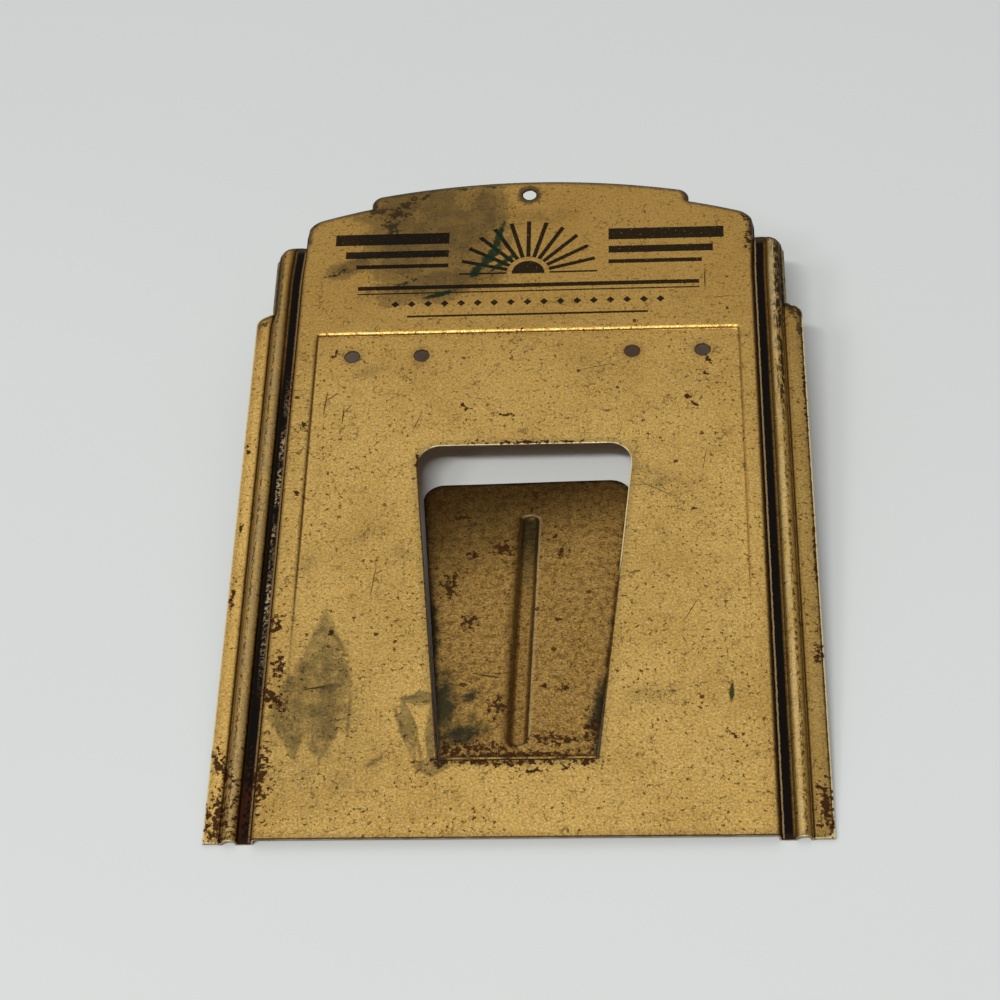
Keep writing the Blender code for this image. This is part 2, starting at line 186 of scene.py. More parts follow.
# Places that follow from the sizes above
FLANGE_START = PLATE_WIDTH / 2 - FLANGE_WIDTH
HEADER_SIDE = FLANGE_START - GROOVE_WALL - GROOVE_FLOOR - RIB_WIDTH - CHANNEL_WIDTH
PANEL_TOP = PLATE_HEIGHT - PANEL_TOP_DROP
PANEL_SIDE = HEADER_SIDE - PANEL_MARGIN
RIB_START = HEADER_SIDE + CHANNEL_WIDTH
STRUT_LENGTH = WINDOW_HEIGHT - 2 * CLEARANCE

# The plate's frame comes from two of the part's mounts, and the strut's from its joint
MOUNTS = {mount["name"]: mount for mount in frame["record"]["mounts"]}
FOLD_JOINT = frame["joints"][0]
FACE_NORMAL = Vector(MOUNTS["pad_seat"]["axis"]).normalized()
PLATE_UP = -Vector(MOUNTS["foot_edge"]["axis"]).normalized()
PLATE_FOOT = Vector(MOUNTS["foot_edge"]["pos_m"]) + FACE_NORMAL * SHEET / 2
PLATE_TURN = Matrix((PLATE_UP.cross(FACE_NORMAL), PLATE_UP, FACE_NORMAL)).transposed().to_4x4()
PLATE_FRAME = Matrix.Translation(PLATE_FOOT) @ PLATE_TURN
STRUT_FRAME = (Matrix.Translation(FOLD_JOINT["pos_m"]) @ PLATE_TURN
               @ Matrix.Rotation(-STRUT_BEND, 4, "X"))

# Camera, in the plate's frame in millimetres, its sensor in millimetres and its near limit in m
CAMERA_PLACE = (22.11, -166.77, 320.88)
CAMERA_AIM = (-3.80, 61.92, 0.0)
CAMERA_UP = (0.01797, 0.81489, 0.57934)
CAMERA_SENSOR = 36.0
CAMERA_NEAR = 0.01


def linear(code):
    """Return the linear colour of an sRGB hex code."""
    channels = [int(code[place:place + 2], 16) / 255 for place in (0, 2, 4)]
    return tuple(c / 12.92 if c <= 0.04045 else ((c + 0.055) / 1.055) ** 2.4 for c in channels)


def length_size(name, description, size):
    """Return a length that a user may change."""
    return bpy.props.FloatProperty(name=name, description=description, default=size,
                                   unit="LENGTH", precision=5, min=0.0)


def finish_colour(name, description, code):
    """Return a colour that a user may change."""
    return bpy.props.FloatVectorProperty(name=name, description=description, subtype="COLOR",
                                         default=linear(code), min=0.0, max=1.0)


class SignSizes(bpy.types.PropertyGroup):
    """Sizes of the stamping that the solids leave out."""

    grid: length_size("Mesh spacing", "Spacing of the lines that let the sheet dent", 1.9 * MM)
    dent_depth: length_size("Dent depth", "How far the flat sheet waves", 0.07 * MM)
    dent_spacing: length_size("Dent spacing", "Distance between dents", 24 * MM)
    edge_roll: length_size("Edge roll", "How far a punched edge is turned down", 0.09 * MM)
    edge_band: length_size("Edge band", "Width of a punched edge's roll", 0.45 * MM)
    flute_shift: length_size("Flute shift", "How far the flutes lie to the left", 0.31 * MM)
    flute_spread: length_size("Flute spread", "How far each flute lies outwards", 0.09 * MM)
    bead_lean: length_size("Bead lean", "How far the bead's top lies to the right", 0.80 * MM)
    strut_twist: length_size("Strut twist", "How far the strut's right corner stands up",
                             0.60 * MM)
    fan_radius: length_size("Fan radius", "Radius of the printed fan", 12.2 * MM)


class SignColours(bpy.types.PropertyGroup):
    """Colours of the sheet's finishes."""

    gold: finish_colour("Gold", "Gold lacquer over tin", "D2AC60")
    # Glint also paints highlights: on edges that face the light, the right rib's flank, the bead's lip and
    # light flecks
    glint: finish_colour("Glint", "Thin lacquer over bright tin", "F0DCA6")
    deep_gold: finish_colour("Deep gold", "Gold lacquer where it has darkened", "A07838")
    brown_gold: finish_colour("Brown gold", "Gold lacquer gone brown", "B8914D")
    tarnish: finish_colour("Tarnish", "Brown tarnish in pores and scratches", "54360F")
    bloom: finish_colour("Bloom", "Grey-brown bloom on the header", "403626")
    soot: finish_colour("Soot", "Brown-black grime on the strut", "2E1D0A")
    enamel: finish_colour("Enamel", "Printing and channel enamel", "0C0704")
    tin: finish_colour("Tin", "Bare bright tin", "B5A993")
    worn_tin: finish_colour("Worn tin", "Tin rubbed bare and gone dull", "A8906A")
    rust: finish_colour("Rust", "Rust in pits and along edges", "301604")
    stain: finish_colour("Stain", "Green-black stain", "25271A")
    verdigris: finish_colour("Verdigris", "Dark green strokes", "06281A")
    wash: finish_colour("Back", "Brown wash coat on the back", "B5823A")
    table: finish_colour("Table", "Plain pale floor", "D2D5D3")


class SignLight(bpy.types.PropertyGroup):
    """Camera and light of the stage."""

    lens: bpy.props.FloatProperty(name="Lens", description="Focal length in millimetres",
                                  default=86.4, min=10.0)
    lamp: bpy.props.FloatProperty(name="Lamp", description="Power of the overhead softbox",
                                  default=25.6, subtype="POWER", unit="POWER", min=0.0)
    lamp_length: length_size("Lamp length", "Length of the overhead softbox", 0.80)
    lamp_width: length_size("Lamp width", "Width of the overhead softbox", 0.10)
    sky: bpy.props.FloatProperty(name="Sky", description="Strength of the room's light",
                                 default=0.71, min=0.0)
    window: bpy.props.FloatProperty(name="Window", description="Power of the light from the left",
                                    default=8.2, subtype="POWER", unit="POWER", min=0.0)
    window_size: length_size("Window size", "Side of the light from the left", 0.52)


def arc(centre, radius, start, end, steps):
    """Return points along an arc between two angles in radians."""
    points = []
    for index in range(steps + 1):
        angle = start + (end - start) * index / steps
        points.append(Vector((centre[0] + radius * math.cos(angle),
                              centre[1] + radius * math.sin(angle))))
    return points


def ease(share):
    """Return a share from 0 to 1 with soft ends."""
    share = max(0.0, min(1.0, share))
    return share * share * (3 - 2 * share)


def step_profile(drop, top_round, foot_round, slope, steps):
    """Return (distance, depth) points of a pressed step with a round at its top and foot."""
    rounds = top_round + foot_round
    wall = (drop - rounds * (1 - math.cos(slope))) / math.sin(slope)
    points = []
    for index in range(steps + 1):
        angle = slope * index / steps
        points.append((top_round * math.sin(angle), top_round * (1 - math.cos(angle))))
    foot = points[-1][0] + wall * math.cos(slope) + foot_round * math.sin(slope)
    if wall < TOUCH:
        points.pop()
    for index in range(steps + 1):
        angle = slope * (1 - index / steps)
        points.append((foot - foot_round * math.sin(angle),
                       drop - foot_round * (1 - math.cos(angle))))
    return points


def depth_at(profile, distance):
    """Return the depth of a profile at a distance along it."""
    if distance <= profile[0][0]:
        return profile[0][1]
    for (near, near_depth), (far, far_depth) in zip(profile, profile[1:]):
        if distance <= far:
            share = (distance - near) / max(far - near, TOUCH)
            return near_depth + (far_depth - near_depth) * share
    return profile[-1][1]


def rib_offsets():
    """Return the (offset, depth) points of the channel, rib, groove and flange."""
    radius = ((RIB_WIDTH / 2) ** 2 + RIB_HEIGHT ** 2) / (2 * RIB_HEIGHT)
    spread = math.asin(RIB_WIDTH / 2 / radius)
    points = [(CHANNEL_WIDTH / 2, FACE_DROP)]
    for index in range(RIB_STEPS + 1):
        angle = spread * (2 * index / RIB_STEPS - 1)
        rise = RIB_HEIGHT - radius * (1 - math.cos(angle))
        points.append((CHANNEL_WIDTH + RIB_WIDTH / 2 + radius * math.sin(angle), FACE_DROP - rise))
    groove = CHANNEL_WIDTH + RIB_WIDTH + GROOVE_FLOOR
    points.append((groove, FACE_DROP))
    points.append((groove + GROOVE_WALL, FACE_DROP - GROOVE_DEPTH))
    corner = FLANGE_WIDTH - FLANGE_CORNER
    for index in range(ROUND_STEPS + 1):
        angle = math.pi / 2 * index / ROUND_STEPS
        points.append((groove + GROOVE_WALL + corner + FLANGE_CORNER * math.sin(angle),
                       FACE_DROP - GROOVE_DEPTH))
    return points


def rounded_corner(side, arc_centre_y, arc_radius, corner):
    """Return the centre of a corner round between an upright edge and a broad arc on x = 0."""
    x = side - corner
    y = arc_centre_y + math.sqrt((arc_radius - corner) ** 2 - x ** 2)
    return Vector((x, y))


WALL = step_profile(FACE_DROP, WALL_TOP_ROUND, WALL_FOOT_ROUND, WALL_ANGLE, ROUND_STEPS)
WALL_WIDTH = WALL[-1][0]
PANEL_STEP = step_profile(PANEL_DEPTH, PANEL_TOP_ROUND, PANEL_FOOT_ROUND, PANEL_WALL_ANGLE,
                          ROUND_STEPS)
PANEL_STEP_WIDTH = PANEL_STEP[-1][0]
CORNER_LINES = [PANEL_STEP_WIDTH + PANEL_CORNER * share for share in CORNER_SHARES]
SIDE_SECTION = [(0.0, FACE_DROP)] + rib_offsets()

# Centres of the header's arcs, and the tops of the rib and the flange below them
CROWN_SIDE = CROWN_WIDTH / 2
CROWN_Y = PLATE_HEIGHT - CROWN_RADIUS
SHOULDER_Y = PLATE_HEIGHT - STEP_DROP - math.sqrt(SHOULDER_RADIUS ** 2 - CROWN_SIDE ** 2)
CROWN_ROUND = rounded_corner(CROWN_SIDE, CROWN_Y, CROWN_RADIUS, CROWN_CORNER)
HEADER_ROUND = rounded_corner(HEADER_SIDE, SHOULDER_Y, SHOULDER_RADIUS, HEADER_CORNER)
RIB_TOP = HEADER_ROUND.y - HEADER_SIDE_RUN
FLANGE_TOP = RIB_TOP - FLANGE_STEP


def top_outline():
    """Return the right half of the header's edge, from the rib's top over the crown."""
    header_lean = math.atan2(HEADER_ROUND.y - SHOULDER_Y, HEADER_ROUND.x)
    crown_lean = math.atan2(CROWN_ROUND.y - CROWN_Y, CROWN_ROUND.x)
    step_lean = math.acos(CROWN_SIDE / SHOULDER_RADIUS)
    centre_lean = math.pi / 2 + math.asin(RUNOUT / CROWN_RADIUS)
    points = [Vector((HEADER_SIDE, RIB_TOP))]
    points += arc(HEADER_ROUND, HEADER_CORNER, 0.0, header_lean, CORNER_STEPS)
    points += arc((0, SHOULDER_Y), SHOULDER_RADIUS, header_lean, step_lean, ARC_STEPS)[1:]
    points += arc(CROWN_ROUND, CROWN_CORNER, 0.0, crown_lean, CORNER_STEPS)
    points += arc((0, CROWN_Y), CROWN_RADIUS, crown_lean, centre_lean, ARC_STEPS)[1:]
    return points


def window_outline(inset):
    """Return the outline of the window, or of what fits in it with a gap all round.

    It is measured from the fold line, and an inset moves every side inwards by one distance.
    """
    lean = math.atan2((WINDOW_TOP_WIDTH - WINDOW_FOOT_WIDTH) / 2, WINDOW_HEIGHT)
    corner = WINDOW_CORNER - inset
    top = WINDOW_HEIGHT - inset

    def half_width(y):
        return WINDOW_FOOT_WIDTH / 2 + y * math.tan(lean) - inset / math.cos(lean)

    centre_y = top - corner
    centre_x = half_width(centre_y) - corner / math.cos(lean)
    right = [Vector((half_width(inset), inset))]
    right += arc((centre_x, centre_y), corner, -lean, math.pi / 2, CORNER_STEPS)
    left = [Vector((-point.x, point.y)) for point in reversed(right)]
    return right + left


def bead_line(sizes):
    """Return the two ends of the bead's middle line, on the flat strut."""
    return (Vector((0, BEAD_START + BEAD_WIDTH / 2)),
            Vector((sizes.bead_lean, BEAD_START + BEAD_LENGTH - BEAD_WIDTH / 2)))


def hole_outlines(grow=0.0):
    """Return the round outlines of the hanging hole and the four pad holes."""
    places = [(0.0, PLATE_HEIGHT - HANG_HOLE_DROP, HANG_HOLE_DIAMETER)]
    for side in (-1, 1):
        for step in (0, PAD_HOLE_PITCH):
            places.append((side * (PAD_HOLE_INNER_SPAN / 2 + step), PANEL_TOP - PAD_HOLE_INSET,
                           PAD_HOLE_DIAMETER))
    return [arc((x, y), diameter / 2 + grow, 0.0, 2 * math.pi, HOLE_SIDES)[:-1]
            for x, y, diameter in places]


def edge_distance(point, outline):
    """Return the distance from a point to a run of straight stretches."""
    nearest = math.inf
    for start, end in zip(outline, outline[1:]):
        along = end - start
        share = max(0.0, min(1.0, (point - start).dot(along) / along.length_squared))
        nearest = min(nearest, (point - start - along * share).length)
    return nearest


def rim_depth(distance):
    """Return how far the turned-down edge has fallen at a distance from the edge."""
    radius = (RIM_WIDTH ** 2 + RIM_DROP ** 2) / (2 * RIM_DROP)
    inwards = max(0.0, RIM_WIDTH - distance)
    return radius - math.sqrt(radius ** 2 - inwards ** 2)


def panel_depth(x, y):
    """Return the depth of the pressed panel, which fades out towards the bottom."""
    beyond = Vector((x - PANEL_SIDE + PANEL_CORNER, y - PANEL_TOP + PANEL_CORNER))
    if min(beyond) > 0:
        outside = beyond.length - PANEL_CORNER
    else:
        outside = max(beyond) - PANEL_CORNER
    fade = (y - PANEL_FADE_FOOT) / (PANEL_FADE_TOP - PANEL_FADE_FOOT)
    return depth_at(PANEL_STEP, PANEL_STEP_WIDTH / 2 - outside) * max(0.0, min(1.0, fade))


def face_depth(point, outline):
    """Return the depth of the raised face, its side walls and its turned-down edge."""
    wall = depth_at(WALL, WALL_WIDTH - (HEADER_SIDE - point.x))
    rim = rim_depth(edge_distance(point, outline))
    return max(wall, rim) + panel_depth(point.x, point.y)


def rounded_end(x, height, side, corner):
    """Return the height of a strip's end at a place across it, with a round outer corner."""
    start = side - corner
    if x <= start:
        return height
    return height - corner + math.sqrt(max(0.0, corner ** 2 - (x - start) ** 2))


def squeezed(y, top, end):
    """Return a height below a top edge that has been trimmed down to its end."""
    return y - (top - end) * max(0.0, 1 - (top - y) / END_SQUEEZE) ** 2


def dent(x, y, sizes):
    """Return how far the flat sheet stands out of true at a place."""
    spacing = sizes.dent_spacing
    broad = noise.noise(Vector((x / spacing, y / spacing, BROAD_LAYER)))
    small = noise.noise(Vector((x / spacing * SMALL_DENT_FINENESS,
                                y / spacing * SMALL_DENT_FINENESS, SMALL_LAYER)))
    return sizes.dent_depth * (broad + SMALL_DENT_SHARE * small)


def flute_shift(across, y, side, sizes):
    """Return how far a flute lies outwards at a place on the flat sheet, below the header."""
    full = sizes.flute_spread - side * sizes.flute_shift
    margin = (across - PANEL_SIDE - PANEL_STEP_WIDTH) / (PANEL_MARGIN - 2 * PANEL_STEP_WIDTH)
    flange = (across - FLANGE_START) / FLANGE_WIDTH
    below = (RIB_TOP - y) / END_SQUEEZE
    outer = ease((across - RIB_START) / RIB_WIDTH) * ease((y - FLANGE_TOP) / CROWN_CORNER + 1)
    return full * ease(margin) * (1 - max(0.0, min(1.0, flange))) * ease(below) * (1 - outer)


def cut(bm, faces, point, normal, drop_side=False):
    """Cut faces along a plane, and return the faces that then lie there."""
    geometry = set(faces)
    for face in faces:
        geometry.update(face.edges)
        geometry.update(face.verts)
    result = bmesh.ops.bisect_plane(bm, geom=list(geometry), dist=TOUCH, plane_co=point,
                                    plane_no=normal, clear_outer=drop_side)
    return [item for item in result["geom"] if isinstance(item, bmesh.types.BMFace)]


def score(bm, outline):
    """Cut the sheet along an outline that bulges everywhere, and return the faces inside it."""
    low = Vector((min(point.x for point in outline), min(point.y for point in outline)))
    high = Vector((max(point.x for point in outline), max(point.y for point in outline)))
    inside = [face for face in bm.faces
              if max(vert.co.x for vert in face.verts) > low.x
              and min(vert.co.x for vert in face.verts) < high.x
              and max(vert.co.y for vert in face.verts) > low.y
              and min(vert.co.y for vert in face.verts) < high.y]
    for start, end in zip(outline, outline[1:] + outline[:1]):
        along = end - start
        outwards = Vector((along.y, -along.x, 0.0)).normalized()
        corner = start.to_3d()
        pieces = cut(bm, inside, corner, outwards)
        inside = [face for face in pieces
                  if (face.calc_center_median() - corner).dot(outwards) < 0]
    return inside


def punch(bm, outline):
    """Cut a hole in the sheet."""
    bmesh.ops.delete(bm, geom=score(bm, outline), context="FACES")


def rows_between(low, high, spacing, kept):
    """Return evenly spaced lines that stay clear of the lines already kept."""
    count = max(1, round((high - low) / spacing))
    lines = [low + (high - low) * index / count for index in range(1, count)]
    clear = spacing * LINE_CLEAR_SHARE
    return [line for line in lines if all(abs(line - other) > clear for other in kept)]


def add_face_sheet(bm, outline):
    """Make the right half of the raised face, ringed for its walls and rim."""
    points = [Vector((-RUNOUT, -RUNOUT)), Vector((HEADER_SIDE, -RUNOUT))] + outline
    face = bm.faces.new([bm.verts.new((*point, 0.0)) for point in points])
    face.normal_update()
    rings = [WALL_WIDTH - distance for distance, _ in reversed(WALL)]
    rings += [rings[-1] + (RIM_WIDTH - rings[-1]) * (index + 1) / RIM_RINGS
              for index in range(RIM_RINGS)]
    for outer, inner in zip(rings, rings[1:]):
        bmesh.ops.inset_region(bm, faces=[face], thickness=inner - outer,
                               use_even_offset=True, use_boundary=True)
    cut(bm, bm.faces, (0, 0, 0), (-1, 0, 0), drop_side=True)
    cut(bm, bm.faces, (0, 0, 0), (0, -1, 0), drop_side=True)


def add_panel_lines(bm, grid):
    """Cut the lines that the panel's step, its fade, the flutes' ends and the dents need."""
    half_step = PANEL_STEP_WIDTH / 2
    rows = [PANEL_FADE_FOOT, PANEL_FADE_TOP, FLANGE_TOP]
    rows += [RIB_TOP - END_ROLL_LENGTH * index / ROLL_STEPS for index in range(ROLL_STEPS + 1)]
    rows += [PANEL_TOP + half_step - distance for distance, _ in PANEL_STEP]
    rows += [PANEL_TOP + half_step - distance for distance in CORNER_LINES]
    rows += rows_between(0.0, PLATE_HEIGHT, grid, rows)
    for row in rows:
        cut(bm, bm.faces, (0, row, 0), (0, 1, 0))
    columns = rows_between(0.0, HEADER_SIDE - RIM_WIDTH, grid, [PANEL_SIDE])
    for column in columns:
        cut(bm, bm.faces, (column, 0, 0), (1, 0, 0))
    for distance in [distance for distance, _ in PANEL_STEP] + CORNER_LINES:
        below = [face for face in bm.faces
                 if face.calc_center_median().y < PANEL_TOP + half_step]
        cut(bm, below, (PANEL_SIDE + half_step - distance, 0, 0), (1, 0, 0))


def add_side_strips(bm):
    """Extrude the face's side edge outwards, one strip at a time, to the flange's edge."""
    edges = [edge for edge in bm.edges
             if all(abs(vert.co.x - HEADER_SIDE) < TOUCH and vert.co.y < RIB_TOP + TOUCH
                    for vert in edge.verts)]
    for offset, _ in SIDE_SECTION[1:]:
        column = HEADER_SIDE + offset
        if column > FLANGE_START + TOUCH:
            edges = [edge for edge in edges
                     if all(vert.co.y < FLANGE_TOP + TOUCH for vert in edge.verts)]
        grown = bmesh.ops.extrude_edge_only(bm, edges=edges)["geom"]
        for item in grown:
            if isinstance(item, bmesh.types.BMVert):
                item.co.x = column
        edges = [item for item in grown if isinstance(item, bmesh.types.BMEdge)
                 and all(abs(vert.co.x - column) < TOUCH for vert in item.verts)]


def note_flat_places(bm, outlines):
    """Keep each vertex's place on the flat sheet and its distance to a cut edge, in mm."""
    place = bm.verts.layers.float_vector.new("flat_mm")
    edge = bm.verts.layers.float.new("edge_mm")
    for vert in bm.verts:
        vert[place] = vert.co / MM
        spot = Vector((abs(vert.co.x), vert.co.y))
        vert[edge] = min([FAR] + [edge_distance(spot, outline) for outline in outlines]) / MM


def press_plate(bm, outline, sizes):
    """Move every point of the flat plate to its pressed depth and trimmed height."""
    edge = bm.verts.layers.float["edge_mm"]
    for vert in bm.verts:
        side = -1 if vert.co.x < 0 else 1
        across, y = abs(vert.co.x), vert.co.y
        roll = sizes.edge_roll * max(0.0, 1 - vert[edge] * MM / sizes.edge_band) ** 2
        if across <= HEADER_SIDE + TOUCH:
            fade = ease((HEADER_SIDE - across) / FAR) * ease((PLATE_HEIGHT - y) / FAR)
            depth = face_depth(Vector((across, y)), outline) + roll
            vert.co.z = -depth + fade * dent(vert.co.x, y, sizes)
            vert.co.x = side * (across + flute_shift(across, y, side, sizes))
            continue
        depth = depth_at(SIDE_SECTION, across - HEADER_SIDE)
        from_top = RIB_TOP - y
        if from_top < END_ROLL_LENGTH:
            depth += (FACE_DROP - depth) * END_ROLL_SHARE * (1 - from_top / END_ROLL_LENGTH) ** 2
        if across > FLANGE_START + TOUCH:
            sloping = FLANGE_TOP - (across - FLANGE_START) * FLANGE_END_SLOPE
            end = rounded_end(across, sloping, PLATE_WIDTH / 2, FLANGE_CORNER)
            vert.co.y = squeezed(y, FLANGE_TOP, end)
        else:
            end = rounded_end(across, RIB_TOP, FLANGE_START, RIB_CORNER)
            vert.co.y = squeezed(y, RIB_TOP, end)
        vert.co.x = side * (across + flute_shift(across, y, side, sizes))
        vert.co.z = -depth


def mirror_half(bm):
    """Add the other half of a sheet across x = 0."""
    everything = bm.verts[:] + bm.edges[:] + bm.faces[:]
    bmesh.ops.mirror(bm, geom=everything, axis="X", merge_dist=MERGE)
    bmesh.ops.recalc_face_normals(bm, faces=bm.faces)
    if sum(face.normal.z * face.calc_area() for face in bm.faces) < 0:
        bmesh.ops.reverse_faces(bm, faces=bm.faces)


def finish_sheet(bm, name, place, finishes):
    """Thicken a pressed sheet behind its face, and lay it where its frame has it."""
    mesh = bpy.data.meshes.new(name + "_sheet")
    bm.to_mesh(mesh)
    bm.free()
    for finish in finishes:
        mesh.materials.append(finish)
    flat = bpy.data.objects.new(name + "_sheet", mesh)
    bpy.context.scene.collection.objects.link(flat)
    wall = flat.modifiers.new("Sheet", "SOLIDIFY")
    wall.thickness = SHEET
    wall.offset = -1.0
    wall.use_even_offset = True
    wall.use_quality_normals = True
    wall.material_offset = 1
    wall.material_offset_rim = 2
    graph = bpy.context.evaluated_depsgraph_get()
    solid = bpy.data.meshes.new_from_object(flat.evaluated_get(graph), depsgraph=graph)
    bpy.data.objects.remove(flat)
    solid.name = name
    solid.transform(place)
    for vert in solid.vertices:
        vert.co.z = max(vert.co.z, 0.0)
    solid.shade_smooth()
    solid.set_sharp_from_angle(angle=SHARP_ANGLE)
    piece = bpy.data.objects.new(name, solid)
    bpy.context.scene.collection.objects.link(piece)
    return piece


def opaque(colour, alpha=1.0):
    """Return a colour with an alpha, as a ramp or a mix takes it."""
    return (*colour[:3], alpha)


def fill_inputs(tree, item, links):
    """Link or set a node's inputs, by their names or in their order.

    A node that is given as a value links its first output.
    """
    sockets = [socket for socket in item.inputs if socket.enabled]
    if isinstance(links, dict):
        sockets = [next(found for found in sockets if found.name == name) for name in links]
        links = links.values()
    for socket, value in zip(sockets, links):
        if isinstance(value, bpy.types.Node):
            value = next(output for output in value.outputs if output.enabled)
        if isinstance(value, bpy.types.NodeSocket):
            tree.links.new(value, socket)
        elif socket.type == "RGBA":
            socket.default_value = opaque(value)
        else:
            socket.default_value = value


def add_node(tree, kind, links=(), stops=(), **settings):
    """Add a node with its settings, its links and input values, and its ramp's stops."""
    item = tree.nodes.new("ShaderNode" + kind)
    for name, value in settings.items():
        setattr(item, name, value)
    fill_inputs(tree, item, links)
    for index, (position, colour) in enumerate(stops):
        elements = item.color_ramp.elements
        element = elements[index] if index < len(elements) else elements.new(position)
        element.position = position
        element.color = colour
    return item


def new_finish(name):
    """Return a new material with its node tree and its shader."""
    material = bpy.data.materials.new(name)
    material.use_nodes = True
    tree = material.node_tree
    return material, tree, tree.nodes["Principled BSDF"]


# A smooth rise needs no clamp of its own, and each clamp would cost the shader a step
SMOOTH = {"interpolation_type": "SMOOTHSTEP", "clamp": False}

# Noise along the marks' borders and in the pits round them: detail, roughness
BORDER_NOISE = (6.0, 0.72)
PIT_NOISE = (4.0, 0.66)
# How fast the pits thin out away from a mark, and the levels of a pit's edge
PIT_THINNING = -0.17
PIT_EDGE = (0.375, 0.43)


def nearest_mark(tree, place, marks, kite=False):
    """Return how near a place is to the nearest of some marks, 1 being at its border.

    A mark is its centre x and y, its half length and half width in mm, and its turn in degrees.
    It is an oval, or a kite with straight sides.
    """
    nearest = None
    for x, y, half_length, half_width, turn in marks:
        cosine, sine = math.cos(math.radians(turn)), math.sin(math.radians(turn))
        lengthways = (cosine / half_length, sine / half_length, 0)
        sideways = (-sine / half_width, cosine / half_width, 0)
        apart = add_node(tree, "VectorMath", (place, (x, y, 0)), operation="SUBTRACT")
        along = add_node(tree, "VectorMath", (apart, lengthways), operation="DOT_PRODUCT")
        aside = add_node(tree, "VectorMath", (apart, sideways), operation="DOT_PRODUCT")
        if kite:
            along = add_node(tree, "Math", (along,), operation="ABSOLUTE")
            aside = add_node(tree, "Math", (aside,), operation="ABSOLUTE")
            reach = add_node(tree, "Math", (along, aside), operation="ADD")
        else:
            square = add_node(tree, "Math", (along, along), operation="MULTIPLY")
            reach = add_node(tree, "Math", (aside, aside, square), operation="MULTIPLY_ADD")
        if nearest is None:
            nearest = reach
        else:
            nearest = add_node(tree, "Math", (nearest, reach), operation="MINIMUM")
    if kite:
        return nearest
    return add_node(tree, "Math", (nearest,), operation="SQRT")


def ragged_marks(tree, place, marks, ragged, grain, kite=False):
    """Return how near some marks are, with borders broken up by noise of one grain in mm."""
    near = nearest_mark(tree, place, marks, kite)
    rough = add_node(tree, "TexNoise", (place, 1 / grain, *BORDER_NOISE))
    pushed = add_node(tree, "Math", (rough, ragged, near), operation="MULTIPLY_ADD")
    return add_node(tree, "Math", (pushed, ragged / 2), operation="SUBTRACT")


def mark_mask(tree, place, marks, ragged, grain, soft, kite=False):
    """Return where some marks lie, from 0 outside them to 1 within their soft border."""
    near = ragged_marks(tree, place, marks, ragged, grain, kite)
    return add_node(tree, "MapRange", (near, 1.0, 1.0 - soft), **SMOOTH)


def crowded_pits(tree, place, marks, grain):
    """Return pits of one grain in mm that crowd round some marks and thin out beyond them."""
    near = nearest_mark(tree, place, marks)
    rough = add_node(tree, "TexNoise", (place, 1 / grain, *PIT_NOISE))
    level = add_node(tree, "Math", (near, PIT_THINNING, rough), operation="MULTIPLY_ADD")
    return add_node(tree, "MapRange", (level, *PIT_EDGE), **SMOOTH)


def patches(tree, place, grain, low, high, detail=5.0, roughness=0.62):
    """Return the patches in which noise of one grain in mm rises from a low to a high level."""
    rough = add_node(tree, "TexNoise", (place, 1 / grain, detail, roughness))
    return add_node(tree, "MapRange", (rough, low, high), **SMOOTH)


def streaks(tree, place, width, length, low, high):
    """Return streaks up the sheet, of one width and length in mm."""
    drawn = add_node(tree, "Mapping", {"Vector": place, "Scale": (1 / width, 1 / length, 1)},
                     vector_type="POINT")
    return patches(tree, drawn, 1.0, low, high)


def lay_over(tree, under, colour, strength, *masks):
    """Return a colour laid over another at a strength, where all of some masks are."""
    share = strength
    for mask in masks:
        share = add_node(tree, "Math", (mask, share), operation="MULTIPLY")
    return add_node(tree, "Mix", (share, under, colour), data_type="RGBA")


def band_between(tree, value, low, high, soft):
    """Return where a value in mm lies between two limits, with soft ends."""
    middle = (low + high) / 2
    apart = add_node(tree, "Math", (value, middle), operation="SUBTRACT")
    away = add_node(tree, "Math", (apart,), operation="ABSOLUTE")
    half = (high - low) / 2
    return add_node(tree, "MapRange", (away, half + soft, half), **SMOOTH)


def combined(tree, values, operation):
    """Return some values joined by one operation, such as the greatest of them."""
    result = values[0]
    for value in values[1:]:
        result = add_node(tree, "Math", (result, value), operation=operation)
    return result


# Marks on the flat plate, in mm: centre x and y, half length, half width, turn in degrees
BLOOM_MARKS = [
    (-20.5, 128.5, 12.0, 6.4, 12), (-21.5, 118.5, 8.4, 12.0, 4), (-9.5, 123.0, 6.0, 11.0, -14),
    (-16.0, 109.0, 12.0, 4.4, 10), (-31.0, 113.5, 6.0, 2.2, 24), (-15.0, 121.0, 12.0, 11.0, 0),
]
# Coats of the bloom: how near it starts and is full, 1 being the marks' border, and its cover
BLOOM_COATS = [(1.25, 0.85, 0.16), (1.00, 0.96, 0.28), (0.84, 0.80, 0.20), (0.60, 0.56, 0.14)]
FAINT_BLOOM = [
    (-27.0, 90.0, 5.0, 2.4, 20), (-25.0, 56.0, 6.0, 2.6, 20), (-20.0, 52.0, 4.0, 2.0, -30),
    (-35.0, 50.0, 2.4, 5.0, 0), (22.0, 66.0, 9.0, 3.6, -30), (20.0, 24.0, 9.0, 4.0, 20),
    (-30.0, 20.0, 15.0, 25.0, 0), (0.0, 124.0, 10.0, 3.0, 0), (-34.0, 12.0, 10.0, 8.0, 0),
]
GREEN_STROKES = [
    (-5.4, 119.4, 4.4, 0.85, 76), (-6.9, 114.8, 4.0, 1.25, 54), (-9.2, 111.8, 2.2, 1.0, 60),
    (-4.4, 113.6, 3.6, 0.7, 42), (-15.5, 106.5, 3.6, 0.65, 18), (33.0, 24.6, 2.2, 0.45, 87),
]
